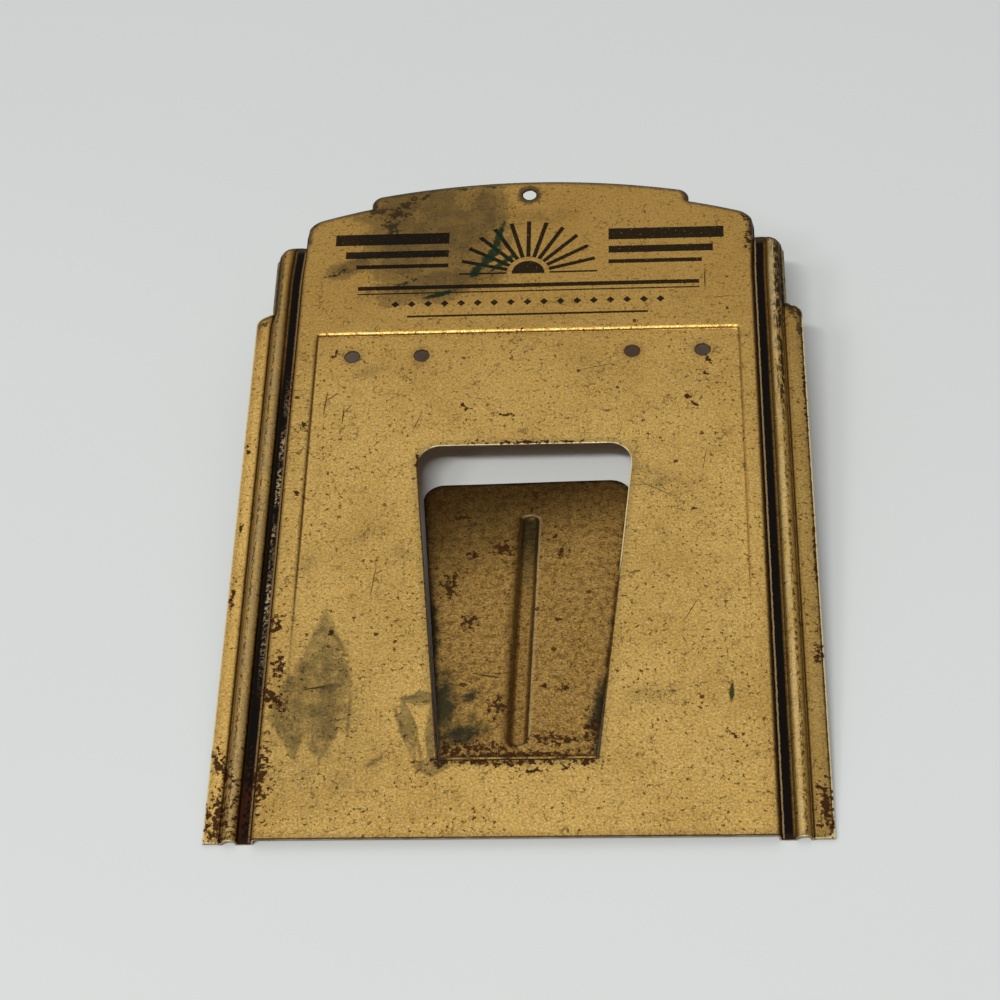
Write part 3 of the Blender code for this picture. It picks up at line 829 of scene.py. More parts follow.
DARK_SMEARS = [
    (-27.5, 126.2, 2.6, 1.6, 20), (-24.8, 122.6, 1.8, 3.0, 10), (-22.5, 127.6, 3.0, 1.4, 35),
    (-19.4, 129.6, 1.8, 1.0, 25), (-21.5, 109.6, 2.6, 0.9, 30), (-23.6, 126.0, 2.4, 2.0, 40),
    (-12.0, 131.3, 1.2, 0.6, 3), (-7.0, 131.5, 1.0, 0.6, 0), (46.3, 103.0, 3.8, 2.8, -30),
    (44.6, 106.0, 0.7, 8.0, 0), (43.2, 118.5, 1.6, 1.0, -30), (-45.8, 102.2, 1.4, 0.8, 25),
    (46.4, 103.0, 2.0, 1.0, 0), (47.0, 98.0, 0.5, 4.0, 0),
]
DAMP_STAINS = [
    (-31.2, 27.5, 5.6, 15.6, 0), (-29.6, 21.5, 3.4, 10.0, -6), (-35.4, 21.5, 4.0, 9.0, 6),
    (-17.0, 18.8, 1.7, 7.4, 12), (-15.2, 24.2, 3.4, 1.8, 8), (-13.4, 18.0, 1.2, 8.0, 0),
    (-13.2, 12.2, 3.4, 2.2, 0),
]
STAIN_EDGES = [
    (-28.8, 35.0, 5.6, 0.7, -60), (-26.4, 21.5, 8.4, 0.55, 89), (-30.0, 26.6, 4.0, 0.8, 8),
    (-18.6, 20.5, 4.6, 0.7, -70), (-15.2, 15.5, 4.4, 0.5, -80), (-21.8, 13.2, 3.4, 0.8, 32),
    (-17.4, 24.4, 2.4, 0.8, 10),
]
RUST_SPOTS = [
    (38.4, 122.8, 1.3, 0.9, -30), (39.0, 118.0, 3.6, 0.8, 84), (31.2, 90.9, 1.2, 0.7, -40),
    (30.6, 88.2, 0.5, 1.4, 10), (27.6, 83.2, 0.8, 1.1, 20), (28.4, 81.6, 1.0, 0.6, -30),
    (46.8, 32.0, 2.2, 0.8, 85), (32.9, 17.3, 1.5, 0.5, -50),
    (37.4, 46.5, 0.9, 0.25, 10), (-37.4, 78.0, 0.7, 1.6, 0), (-37.6, 64.0, 0.6, 1.4, 0),
    (-46.7, 74.0, 0.5, 1.6, 10), (-10.5, 82.0, 1.4, 0.5, -60), (-3.0, 80.0, 2.2, 0.4, -4),
    (-33.5, 112.0, 1.8, 0.6, 20), (-38.0, 30.0, 1.0, 4.0, 0), (47.2, 84.0, 0.3, 12.0, 0),
    (47.2, 50.0, 0.3, 9.0, 0), (-38.9, 124.0, 0.8, 2.0, 20), (-33.0, 94.0, 1.2, 0.7, 30),
    (0.0, 74.1, 12.0, 0.40, 0), (-18.0, 71.0, 0.4, 3.0, 0), (12.5, 30.0, 0.5, 4.0, -6),
    (-40.0, 88.0, 0.3, 8.0, 0), (28.0, 60.0, 0.5, 0.5, 0), (-30.2, 36.6, 0.7, 0.6, 0),
]
CORNER_RUST = [
    (-38.4, 24.5, 3.6, 1.5, -50), (-39.0, 38.0, 2.8, 1.2, 80), (-45.6, 13.0, 5.0, 1.8, -55),
    (-45.4, 4.0, 2.6, 6.0, 0), (46.6, 5.0, 1.4, 6.0, 0), (-39.2, 11.0, 1.6, 7.0, 0),
    (-46.9, 44.0, 0.6, 4.0, 0), (-46.6, 58.0, 0.5, 1.6, 0), (-41.5, 6.0, 1.6, 8.0, 0),
]
FOLD_RUST = [
    (-2.0, 12.8, 12.0, 0.8, 0), (-11.6, 13.0, 2.6, 1.2, 0), (10.5, 13.0, 3.0, 1.0, 0),
    (2.0, 11.2, 2.2, 0.5, 4), (7.4, 11.8, 1.2, 0.5, -10),
]
SCRATCHES = [
    (-34.2, 83.0, 3.2, 0.15, 85), (-33.2, 84.5, 1.6, 0.14, 40), (-31.0, 80.5, 2.6, 0.14, 88),
    (-30.2, 82.0, 1.4, 0.13, 55), (-32.0, 26.4, 2.3, 0.22, 10), (-24.0, 46.5, 3.6, 0.12, 84),
    (22.0, 64.0, 4.2, 0.09, -28), (27.0, 40.0, 3.4, 0.09, 62), (12.0, 90.0, 4.0, 0.08, 12),
    (-20.0, 88.0, 3.0, 0.09, -50), (30.0, 70.0, 3.2, 0.08, 80), (5.0, 104.0, 3.6, 0.08, -18),
    (31.0, 108.6, 0.16, 2.6, 0), (33.5, 104.5, 2.8, 0.09, 6), (-18.2, 79.0, 2.4, 0.10, 70),
]

# Marks on the strut, in mm from the fold line
STRUT_STAINS = [
    (-11.8, 10.0, 3.6, 12.5, 6), (-8.6, 5.0, 5.0, 4.4, 0), (12.4, 9.5, 1.8, 9.0, -6),
    (-14.6, 27.0, 1.8, 12.0, 7), (-7.6, 12.5, 2.4, 1.8, 40),
]
STRUT_RUST = [
    (-3.6, 44.4, 2.8, 2.0, -25), (-8.6, 43.0, 1.7, 1.4, 0), (1.6, 57.0, 1.6, 0.9, 0),
    (-8.4, 28.2, 2.0, 1.8, 20), (-2.6, 34.6, 0.8, 0.6, 0), (-3.4, 10.0, 1.8, 2.6, 0),
    (6.9, 13.6, 1.4, 1.0, 20), (5.7, 28.0, 0.7, 0.6, 0), (3.6, 14.2, 0.9, 0.6, 0),
    (5.6, 3.4, 5.5, 1.4, 0), (0.4, 56.6, 1.4, 0.5, 20), (-11.0, 52.0, 1.6, 0.6, 0),
    (-6.0, 2.0, 6.5, 1.2, 0), (0.0, 0.5, 12.5, 1.0, 0),
    (-12.0, 36.0, 1.8, 3.4, 0), (11.4, 5.0, 1.6, 4.0, 0), (-10.0, 1.0, 3.0, 2.4, 0),
    (6.2, 43.0, 1.5, 1.1, 30), (5.0, 46.6, 0.8, 0.7, 0),
]
STRUT_SCRATCHES = [(-5.0, 16.4, 2.8, 0.22, -12), (0.9, 53.2, 0.8, 0.20, 80)]

# Printed ornament, in mm: centre x and y, half length and half thickness of each rule and bar
PRINTED_BARS = [
    (0.0, 108.2, 30.0, 0.45), (0.0, 106.9, 30.0, 0.14), (0.0, 101.6, 21.0, 0.22),
    (24.4, 119.6, 10.2, 1.30), (23.4, 116.0, 9.2, 0.80), (22.4, 113.2, 8.2, 0.45),
]
FAN_FOOT = 110.9
FAN_HUB = 2.9
FAN_GAP = 0.9
FAN_RAY_STEP = math.radians(15.0)
FAN_RAY_HALF = 0.38
LOZENGE_HEIGHT = 104.4
LOZENGE_PITCH = 2.9
LOZENGE_SIZE = 0.72
LOZENGE_REACH = 24.6
# Ragged edge of the print: its noise's grain and detail, its depth in mm, and where ink ends
PRINT_GRAIN = 0.35
PRINT_DETAIL = 2.0
PRINT_RAGGED = 0.22
PRINT_EDGE = (0.17, 0.07)


def box_distance(tree, place, centre, half):
    """Return the distance in mm from a place to an upright box, less than 0 inside it."""
    apart = add_node(tree, "VectorMath", (place, (*centre, 0)), operation="SUBTRACT")
    size = add_node(tree, "VectorMath", (apart,), operation="ABSOLUTE")
    over = add_node(tree, "VectorMath", (size, (*half, 0)), operation="SUBTRACT")
    parts = add_node(tree, "SeparateXYZ", (over,))
    return add_node(tree, "Math", (parts.outputs[0], parts.outputs[1]), operation="MAXIMUM")


def fan_distance(tree, place, radius):
    """Return the distance in mm from a place to the printed fan, less than 0 inside it."""
    from_hub = add_node(tree, "VectorMath", (place, (0, FAN_FOOT, 0)), operation="SUBTRACT")
    parts = add_node(tree, "SeparateXYZ", (from_hub,))
    reach = add_node(tree, "VectorMath", (from_hub,), operation="LENGTH")
    angle = add_node(tree, "Math", (parts.outputs[0], parts.outputs[1]), operation="ARCTAN2")
    off_ray = add_node(tree, "Math", (angle, FAN_RAY_STEP / 2), operation="PINGPONG")
    ray = add_node(tree, "Math", (off_ray, reach, -FAN_RAY_HALF), operation="MULTIPLY_ADD")
    beyond = add_node(tree, "Math", (reach, radius), operation="SUBTRACT")
    short = add_node(tree, "Math", (FAN_HUB + FAN_GAP, reach), operation="SUBTRACT")
    rays = combined(tree, (beyond, short), "MAXIMUM")
    rays = combined(tree, (ray, rays), "MAXIMUM")
    hub = add_node(tree, "Math", (reach, FAN_HUB), operation="SUBTRACT")
    fan = combined(tree, (rays, hub), "MINIMUM")
    below = add_node(tree, "Math", (parts.outputs[1], -1.0), operation="MULTIPLY")
    return combined(tree, (fan, below), "MAXIMUM")


def lozenge_distance(tree, place):
    """Return the distance in mm from a place to the printed row of lozenges."""
    parts = add_node(tree, "SeparateXYZ", (place,))
    x, y = parts.outputs[0], parts.outputs[1]
    off_centre = add_node(tree, "Math", (x, LOZENGE_PITCH / 2), operation="PINGPONG")
    off_row = add_node(tree, "Math", (y, LOZENGE_HEIGHT), operation="SUBTRACT")
    height = add_node(tree, "Math", (off_row,), operation="ABSOLUTE")
    spread = add_node(tree, "Math", (off_centre, height), operation="ADD")
    shape = add_node(tree, "Math", (spread, LOZENGE_SIZE), operation="SUBTRACT")
    beyond = add_node(tree, "Math", (x, LOZENGE_REACH), operation="SUBTRACT")
    return combined(tree, (shape, beyond), "MAXIMUM")


def header_print(tree, place, folded, sizes):
    """Return where the header's plain printed ornament lies."""
    shapes = [box_distance(tree, folded, (x, y), (half, thick))
              for x, y, half, thick in PRINTED_BARS]
    shapes.append(fan_distance(tree, folded, sizes.fan_radius / MM))
    shapes.append(lozenge_distance(tree, folded))
    nearest = combined(tree, shapes, "MINIMUM")
    ragged = add_node(tree, "TexNoise", (place, 1 / PRINT_GRAIN, PRINT_DETAIL))
    worn = add_node(tree, "Math", (ragged, PRINT_RAGGED, nearest), operation="MULTIPLY_ADD")
    return add_node(tree, "MapRange", (worn, *PRINT_EDGE), **SMOOTH)


# Bands across each side of the flat sheet, enamel and bare tin, with rust and painted shade along the wall's
# shoulder, the rib's foot, the groove and the outer edge: mm from the middle, colour's name, cover
SIDE_BANDS_AND_SHADE = [
    (39.15, "rust", 0.0), (39.50, "rust", 0.72), (39.80, "rust", 1.0), (40.00, "rust", 0.97),
    (40.12, "worn_tin", 0.85), (40.22, "worn_tin", 0.85), (40.34, "enamel", 1.0),
    (41.52, "enamel", 1.0), (41.76, "rust", 0.80), (42.10, "tarnish", 0.40),
    (42.45, "tarnish", 0.0), (43.95, "tarnish", 0.0), (44.30, "tarnish", 0.35),
    (44.62, "rust", 0.74), (44.82, "rust", 0.74), (45.05, "tarnish", 0.35),
    (45.45, "tarnish", 0.0), (47.02, "tarnish", 0.0), (47.30, "rust", 0.90),
]
ENAMEL_BAND = [
    (40.26, "enamel", 0.0), (40.36, "enamel", 1.0), (41.52, "enamel", 1.0), (41.72, "enamel", 0.0),
]
BANDS_START = 38.0
BANDS_END = 48.0

# Worn bands there: low and high edge in mm from the middle, softness of the edges
# On the left side the wall's top and the outer edge are kept clear of the bands, as painted highlights where
# they face the light
LIT_LEFT_MARGIN = (38.9, 39.60, 0.12)
LIT_LEFT_EDGE = (47.0, 48.0, 0.2)
CHANNEL_FOOT = (40.0, 40.35, 0.1)
CHIPPED_ENAMEL = (40.2, 41.0, 0.25)
CLIMBED_ENAMEL = (41.3, 42.0, 0.2)
RIB_BAND = (42.55, 44.05, 0.3)
RIB_INNER_FLANK = (42.55, 43.15, 0.2)
RIB_OUTER_FLANK = (42.95, 44.0, 0.3)
RIB_CREST = (43.45, 43.75, 0.15)
# The flange band also carries the flanges' painted light and shade
FLANGE_BAND = (45.2, 47.4, 0.2)
# Heights up the plate between which a wear lies, softness of the ends
CHIPPED_HEIGHT = (46.0, 70.0, 22.0)
BURNT_HEIGHT = (84.0, 116.0, 8.0)
# Heights between which the window's border carries its painted highlight
WINDOW_HIGHLIGHT_HEIGHT = (20.0, 76.0, 1.0)
# Heights up the plate where a wear starts and where it is full
DEEP_GOLD_RISE = (66.0, 120.0)
CLIMBED_FALL = (98.0, 84.0)
SILVERED_FALL = (112.0, 98.0)
SHOULDER_RISE = (94.0, 106.0)
HEADER_RISE = (96.0, 104.0)
# Share of the header's edge bloom and painted shade that is left below it
BELOW_HEADER_SHARE = 0.25

# Patches: grain in mm, levels at which they start and are full, noise's detail and roughness
CROWDS = (6.0, 0.36, 0.62, 3.0)
FLECKS = (0.75, 0.590, 0.640, 3.0, 0.6)
# Light flecks painted as glints of the lacquer
GLINTS = (0.55, 0.60, 0.68, 2.0, 0.6)
MOTTLE = (2.2, 0.48, 0.74, 6.0, 0.72)
BLOTCHES = (2.6, 0.30, 0.66, 5.0, 0.7)
# Breaks in the grime and painted shade along the panel's wall
WALL_FOOT_BREAKS = (3.0, 0.22, 0.46)
ENAMEL_CHIPS = (0.62, 0.48, 0.56, 3.0, 0.75)
ENAMEL_RUBS = (7.0, 0.34, 0.52, 2.0)
STRUT_DIRT = (1.1, 0.47, 0.62, 5.0, 0.72)
BACK_WEAR = (12.0, 0.42, 0.66, 6.0)
BACK_TARNISH = (1.4, 0.50, 0.70, 6.0, 0.7)
# Streaks: width and length in mm, levels at which they start and are full
SILVERED_STREAKS = (0.9, 5.0, 0.36, 0.56)
BURNT_STREAKS = (0.48, 1.6, 0.47, 0.52)
# Streaks of the right rib's rubbing and painted highlight
RUBBED_AND_LIT_STREAKS = (0.6, 7.0, 0.36, 0.56)
NICKS = (0.35, 0.9, 0.48, 0.55)
# Specks: spacing and size in mm, share of them that is kept
PLATE_SPECKS = (3.2, 0.46, 0.34)
STRUT_SPECKS = (2.8, 0.55, 0.36)
BACK_SPECKS = (2.4, 0.45, 0.4)
# A speck's border: grain of its noise and how far that shakes it, both in specks' sizes
SPECK_GRAIN = 1.4
SPECK_DETAIL = 3.0
SPECK_SHAKE = 1.6
SPECK_SOFTNESS = 0.25
# Crazing: a line's border in levels of the noise round its middle, and where the line breaks
NOISE_MIDDLE = 0.5
CRAZE_DETAIL = 2.0
CRAZE_WIDTH = (0.016, 0.005)
CRAZE_BREAK_GRAIN = 1.7
CRAZE_BREAKS = (0.52, 0.62, 1.0)

# Lacquer: levels of its clouds, then its grain in mm, that noise's detail and roughness and the
# levels of its light and dark, and how far a fleck lies under the skin
CLOUD_LEVELS = (0.38, 0.74)
LACQUER_GRAIN = 0.40
LACQUER_NOISE = (3.0, 0.7)
LACQUER_LEVELS = (0.28, 0.72)
FLECK_DEPTH = 0.5

# Ragged line that every band on the plate follows: grain, noise's detail and roughness, swing
JITTER_GRAIN = 0.9
JITTER_NOISE = (5.0, 0.7)
JITTER_SWING = 0.36
# Painted light and shade on the flanges, the left one lightened as it faces the light and the right one
# darkened as it turns from it: step by side, mean tone
FLANGE_LIGHT = (-0.27, 1.06)
# Grime and painted shade at the foot of the panel's wall, in shares of its half width, growing to the top
# left
WALL_FOOT_GRIME_AND_SHADE = (-0.9, -0.4)
WALL_FOOT_SOFTNESS = 0.10
WALL_FOOT_LEAN = -0.9
WALL_FOOT_RISE = (42.0, 96.0)
# The gold is deeper outside the panel: mm from its border where that starts and is full
PANEL_BORDER = (-1.0, 2.0)
# Distances from a cut edge, in mm, where its bloom and painted shade, its rust and its painted highlight
# start and are full
EDGE_BLOOM_SWING = 1.6
EDGE_BLOOM_AND_SHADE = (2.4, 1.3)
EDGE_SWING = 0.25
EDGE_RUST = (0.44, 0.30)
EDGE_HIGHLIGHT = (0.36, 0.28)
# Painted highlight on the lower right border of the window, which faces the light: how its line leans, and
# the stretch in mm
WINDOW_HIGHLIGHT_LEAN = 1.4
WINDOW_HIGHLIGHT = (88.0, 150.0, 8.0)
OUTER_HIGHLIGHT = 0.8
# Skin levels over which the ink has chipped off
INK_CHIPS = (0.70, 0.63)

# Metal where the tin shows and where a coat covers it, and how much duller a coat is
BARE_METAL = 0.86
COATED_METAL = 0.04
COAT_DULLER = 0.14
# The skin's raised grains are glossier, pits lie under it, and both are a tenth of a mm deep
SKIN_GLOSS = -0.08
PIT_DEPTH = -0.9
SKIN_STRENGTH = 0.8
SKIN_HEIGHT = 0.11 * MM
LACQUER_SPECULAR = 0.06
# How far the stains cover the metal on the plate and on the strut
STAIN_COVER = 0.5
STRUT_STAIN_COVER = 0.6
PLATE_GLOSS = 0.42
STRUT_GLOSS = 0.50
# Back and cut edge: their metal and gloss, bare and rusted or worn
BACK_METAL = (0.6, 0.05)
BACK_GLOSS = (0.55, 0.38)
CUT_GRAIN = 3.0
CUT_NOISE = (5.0, 0.65)
CUT_LEVELS = (0.36, 0.64)
CUT_METAL = (0.3, 0.9)
CUT_GLOSS = 0.42
# Table: density and detail of its mottle, how far that lightens it, gloss and shine
TABLE_NOISE = (9.0, 3.0)
TABLE_TONES = (0.985, 1.015)
TABLE_GLOSS = 0.6
TABLE_SPECULAR = 0.2


def bands_ramp(tree, across, colours, bands):
    """Return a ramp of bands over the place across the sheet, from the margin to the edge."""
    share = add_node(tree, "MapRange", (across, BANDS_START, BANDS_END), clamp=False)
    reach = BANDS_END - BANDS_START
    stops = [((mm - BANDS_START) / reach, opaque(getattr(colours, name), cover))
             for mm, name, cover in bands]
    return add_node(tree, "ValToRGB", (share,), stops=stops)


def lacquered_gold(tree, place, colours, light, dark, cloud, contrast):
    """Return the colour of aged lacquer between two golds and its skin, in clouds of one size.

    Tin pores show through the lacquer as dark flecks a few tenths of a millimetre wide; the light flecks of
    that size are painted glints.
    """
    share = patches(tree, place, cloud, *CLOUD_LEVELS)
    colour = lay_over(tree, light, dark, 0.42, share)
    grain = add_node(tree, "TexNoise", (place, 1 / LACQUER_GRAIN, *LACQUER_NOISE))
    tone = add_node(tree, "MapRange", (grain, *LACQUER_LEVELS, 1 + contrast, 1 - contrast),
                    **SMOOTH)
    colour = add_node(tree, "HueSaturation", {"Value": tone, "Color": colour})
    crowd = patches(tree, place, *CROWDS)
    flecks = patches(tree, place, *FLECKS)
    colour = lay_over(tree, colour, colours.tarnish, 0.92, flecks, crowd)
    # Painted glints: light flecks over the lacquer
    colour = lay_over(tree, colour, colours.glint, 0.55, patches(tree, place, *GLINTS))
    colour = lay_over(tree, colour, colours.tarnish, 0.22, patches(tree, place, *MOTTLE))
    skin = add_node(tree, "Math", (flecks, -FLECK_DEPTH, grain), operation="MULTIPLY_ADD")
    return colour, skin


def specks(tree, place, spacing, size, amount):
    """Return scattered specks: their spacing and size in mm, and the share that are kept."""
    rough = add_node(tree, "TexNoise", (place, 1 / (size * SPECK_GRAIN), SPECK_DETAIL))
    shake = (size * SPECK_SHAKE,) * 3
    shaken = add_node(tree, "VectorMath", (rough.outputs["Color"], shake, place),
                      operation="MULTIPLY_ADD")
    cell = add_node(tree, "TexVoronoi", (shaken, 1 / spacing))
    kept = add_node(tree, "SeparateColor", (cell.outputs["Color"],))
    limit = add_node(tree, "MapRange", (kept.outputs[0], 1.0 - amount, 1.0, 0.0, size / spacing),
                     **SMOOTH)
    inside = add_node(tree, "Math", (limit, cell.outputs["Distance"]), operation="SUBTRACT")
    soft = SPECK_SOFTNESS * size / spacing
    return add_node(tree, "MapRange", (inside, 0.0, soft), **SMOOTH)


def squiggles(tree, place, grain):
    """Return fine crazing lines, broken up, where a noise crosses its middle."""
    wander = add_node(tree, "TexNoise", (place, 1 / grain, CRAZE_DETAIL))
    away = add_node(tree, "Math", (wander, NOISE_MIDDLE), operation="SUBTRACT")
    width = add_node(tree, "Math", (away,), operation="ABSOLUTE")
    line = add_node(tree, "MapRange", (width, *CRAZE_WIDTH), **SMOOTH)
    kept = patches(tree, place, grain * CRAZE_BREAK_GRAIN, *CRAZE_BREAKS)
    return add_node(tree, "Math", (line, kept), operation="MULTIPLY")


def finish_metal(tree, shader, colour, covered, skin, pits, gloss):
    """Link a sheet's colour, its metal where nothing covers it, its gloss and its pitted skin."""
    metal = add_node(tree, "MapRange", (covered, 0.0, 1.0, BARE_METAL, COATED_METAL), **SMOOTH)
    duller = add_node(tree, "MapRange", (covered, 0.0, 1.0, gloss, gloss + COAT_DULLER),
                      **SMOOTH)
    duller = add_node(tree, "Math", (skin, SKIN_GLOSS, duller), operation="MULTIPLY_ADD")
    skin = add_node(tree, "Math", (pits, PIT_DEPTH, skin), operation="MULTIPLY_ADD")
    bump = add_node(tree, "Bump", {"Strength": SKIN_STRENGTH, "Distance": SKIN_HEIGHT,
                                   "Height": skin})
    fill_inputs(tree, shader, {"Base Color": colour, "Metallic": metal, "Roughness": duller,
                               "Normal": bump, "Specular IOR Level": LACQUER_SPECULAR})


def gold_lacquered_tinplate(colours, sizes):
    """Gold-lacquered tinplate, printed with dark enamel, stamped, and worn by handling.

    Tin shines through the yellow lacquer, so it reads as satin gold; the enamel is near black
    and duller, and the lacquer has gone brown, green and rusty in places. Painted light and shade lie on the
    flanges, walls, grooves, rim and cut edges.
    """
    material, tree, shader = new_finish("Gold lacquered tinplate")
    place = add_node(tree, "Attribute", attribute_name="flat_mm").outputs["Vector"]
    edge = add_node(tree, "Attribute", attribute_name="edge_mm").outputs["Fac"]
    parts = add_node(tree, "SeparateXYZ", (place,))
    x, y = parts.outputs[0], parts.outputs[1]
    across = add_node(tree, "Math", (x,), operation="ABSOLUTE")
    folded = add_node(tree, "CombineXYZ", (across, y))
    jitter = add_node(tree, "TexNoise", (place, 1 / JITTER_GRAIN, *JITTER_NOISE))
    ragged = add_node(tree, "Math", (jitter, JITTER_SWING, across), operation="MULTIPLY_ADD")
    ragged = add_node(tree, "Math", (ragged, JITTER_SWING / 2), operation="SUBTRACT")
    on_left = add_node(tree, "Math", (x, 0.0), operation="LESS_THAN")
    on_right = add_node(tree, "Math", (x, 0.0), operation="GREATER_THAN")

    # Gold, deeper up the plate and round the panel, with painted light and shade on the flanges, and grime
    # and painted shade along the panel's wall
    colour, skin = lacquered_gold(tree, place, colours, colours.gold, colours.deep_gold,
                                  cloud=16.0, contrast=0.34)
    middle = PANEL_TOP / MM / 2
    panel = box_distance(tree, folded, (0, middle), (PANEL_SIDE / MM, middle))
    border = add_node(tree, "MapRange", (panel, *PANEL_BORDER), **SMOOTH)
    colour = lay_over(tree, colour, colours.deep_gold, 0.16, border)
    above = add_node(tree, "MapRange", (y, *DEEP_GOLD_RISE), **SMOOTH)
    colour = lay_over(tree, colour, colours.deep_gold, 0.52, above)
    # Painted light and shade: the left flange lightened, the right one darkened
    flange = band_between(tree, ragged, *FLANGE_BAND)
    side = add_node(tree, "Math", (x,), operation="SIGN")
    light = add_node(tree, "Math", (flange, side), operation="MULTIPLY")
    light = add_node(tree, "Math", (light, *FLANGE_LIGHT), operation="MULTIPLY_ADD")
    colour = add_node(tree, "HueSaturation", {"Value": light, "Color": colour})
    # Grime and painted shade at the foot of the panel's wall
    near, far = [PANEL_STEP_WIDTH / MM / 2 * share for share in WALL_FOOT_GRIME_AND_SHADE]
    wall_foot_grime_and_shade = band_between(tree, panel, near, far, WALL_FOOT_SOFTNESS)
    grime_and_shade_rise = add_node(tree, "Math", (x, WALL_FOOT_LEAN, y), operation="MULTIPLY_ADD")
    grime_and_shade_rise = add_node(tree, "MapRange", (grime_and_shade_rise, *WALL_FOOT_RISE), **SMOOTH)
    broken = patches(tree, place, *WALL_FOOT_BREAKS)
    colour = lay_over(tree, colour, colours.rust, 0.60, wall_foot_grime_and_shade, grime_and_shade_rise, broken)

    # Bloom on the header, damp stains at the foot and crazing
    cloud = ragged_marks(tree, place, BLOOM_MARKS, ragged=1.6, grain=4.4)
    blotched = patches(tree, place, *BLOTCHES)
    for outer, inner, cover in BLOOM_COATS:
        coat = add_node(tree, "MapRange", (cloud, outer, inner), **SMOOTH)
        colour = lay_over(tree, colour, colours.bloom, cover, coat)
    colour = lay_over(tree, colour, colours.bloom, 0.42, coat, blotched)
    faint = mark_mask(tree, place, FAINT_BLOOM, ragged=1.6, grain=4.0, soft=1.0)
    colour = lay_over(tree, colour, colours.bloom, 0.38, faint, blotched)
    stains = mark_mask(tree, place, DAMP_STAINS, ragged=0.40, grain=2.2, soft=0.20,
                       kite=True)
    colour = lay_over(tree, colour, colours.stain, 0.40, stains)
    colour = lay_over(tree, colour, colours.stain, 0.46, stains, blotched)
    tide = mark_mask(tree, place, STAIN_EDGES, ragged=1.6, grain=1.2, soft=1.0)
    colour = lay_over(tree, colour, colours.stain, 0.55, tide)
    colour = lay_over(tree, colour, colours.tarnish, 0.55, squiggles(tree, place, grain=2.6))

    # Channels and flanges: printed bands with painted shade along the walls and grooves, left off the left
    # side's margin and outer edge, which stay lit as painted highlights
    bands = bands_ramp(tree, ragged, colours, SIDE_BANDS_AND_SHADE)
    bright = combined(tree, (band_between(tree, ragged, *LIT_LEFT_MARGIN),
                             band_between(tree, ragged, *LIT_LEFT_EDGE)), "ADD")
    bright = add_node(tree, "Math", (bright, on_left), operation="MULTIPLY")
    kept = add_node(tree, "Math", (1.0, bright), operation="SUBTRACT")
    colour = lay_over(tree, colour, bands.outputs["Color"], 1.0, bands.outputs["Alpha"], kept)
    enamel = bands_ramp(tree, ragged, colours, ENAMEL_BAND).outputs["Alpha"]
    climbed = band_between(tree, ragged, *CLIMBED_ENAMEL)
    lower = add_node(tree, "MapRange", (y, *CLIMBED_FALL), **SMOOTH)
    colour = lay_over(tree, colour, colours.enamel, 0.9, climbed, lower, on_left)
    chipped_height = band_between(tree, y, *CHIPPED_HEIGHT)
    chipped_band = band_between(tree, ragged, *CHIPPED_ENAMEL)
    chipped = patches(tree, place, *ENAMEL_CHIPS)
    rubbed = patches(tree, place, *ENAMEL_RUBS)
    colour = lay_over(tree, colour, colours.worn_tin, 0.96, chipped_band, chipped_height,
                      chipped, rubbed, on_left)
    dim = band_between(tree, ragged, *CHANNEL_FOOT)
    colour = lay_over(tree, colour, colours.tarnish, 0.50, dim, on_left)

    # Ribs: silvered on the left, burnt and rubbed on the right with a painted highlight along its inner
    # flank, nicked along the crest
    rib = band_between(tree, ragged, *RIB_BAND)
    silvered = streaks(tree, place, *SILVERED_STREAKS)
    below = add_node(tree, "MapRange", (y, *SILVERED_FALL), **SMOOTH)
    colour = lay_over(tree, colour, colours.worn_tin, 0.55, rib, silvered, below, on_left)
    shoulder = add_node(tree, "MapRange", (y, *SHOULDER_RISE), **SMOOTH)
    colour = lay_over(tree, colour, colours.worn_tin, 0.50, rib, shoulder, on_right)
    outer_flank = band_between(tree, ragged, *RIB_OUTER_FLANK)
    burnt = streaks(tree, place, *BURNT_STREAKS)
    burnt_height = band_between(tree, y, *BURNT_HEIGHT)
    colour = lay_over(tree, colour, colours.enamel, 0.88, outer_flank, burnt, burnt_height,
                      on_right)
    # Painted highlight, streaked with rubbing, on the right rib's flank that faces the light
    inner_flank = band_between(tree, ragged, *RIB_INNER_FLANK)
    rubbed_and_lit = streaks(tree, place, *RUBBED_AND_LIT_STREAKS)
    colour = lay_over(tree, colour, colours.glint, 0.34, inner_flank, rubbed_and_lit, on_right)
    crest = band_between(tree, ragged, *RIB_CREST)
    colour = lay_over(tree, colour, colours.rust, 0.75, crest, streaks(tree, place, *NICKS))

    print_mask = header_print(tree, place, folded, sizes)
    chips = add_node(tree, "MapRange", (skin, *INK_CHIPS), **SMOOTH)
    ink = add_node(tree, "Math", (print_mask, chips), operation="MULTIPLY")
    colour = lay_over(tree, colour, colours.enamel, 0.97, ink)

    # Cut edges: bloom and painted shade round the header, rust, and painted highlights where an edge faces
    # the light
    rim = add_node(tree, "Math", (jitter, EDGE_BLOOM_SWING, edge), operation="MULTIPLY_ADD")
    header = add_node(tree, "MapRange", (y, *HEADER_RISE, BELOW_HEADER_SHARE), **SMOOTH)
    # Bloom and painted shade along the turned-down rim and the header's cut edges
    wide = add_node(tree, "MapRange", (rim, *EDGE_BLOOM_AND_SHADE), **SMOOTH)
    shaken = add_node(tree, "Math", (jitter, EDGE_SWING, edge), operation="MULTIPLY_ADD")
    narrow = add_node(tree, "MapRange", (shaken, *EDGE_RUST), **SMOOTH)
    colour = lay_over(tree, colour, colours.bloom, 0.82, wide, header)
    within = add_node(tree, "Math", (across, RIB_START / MM), operation="LESS_THAN")
    colour = lay_over(tree, colour, colours.rust, 0.85, narrow, within)
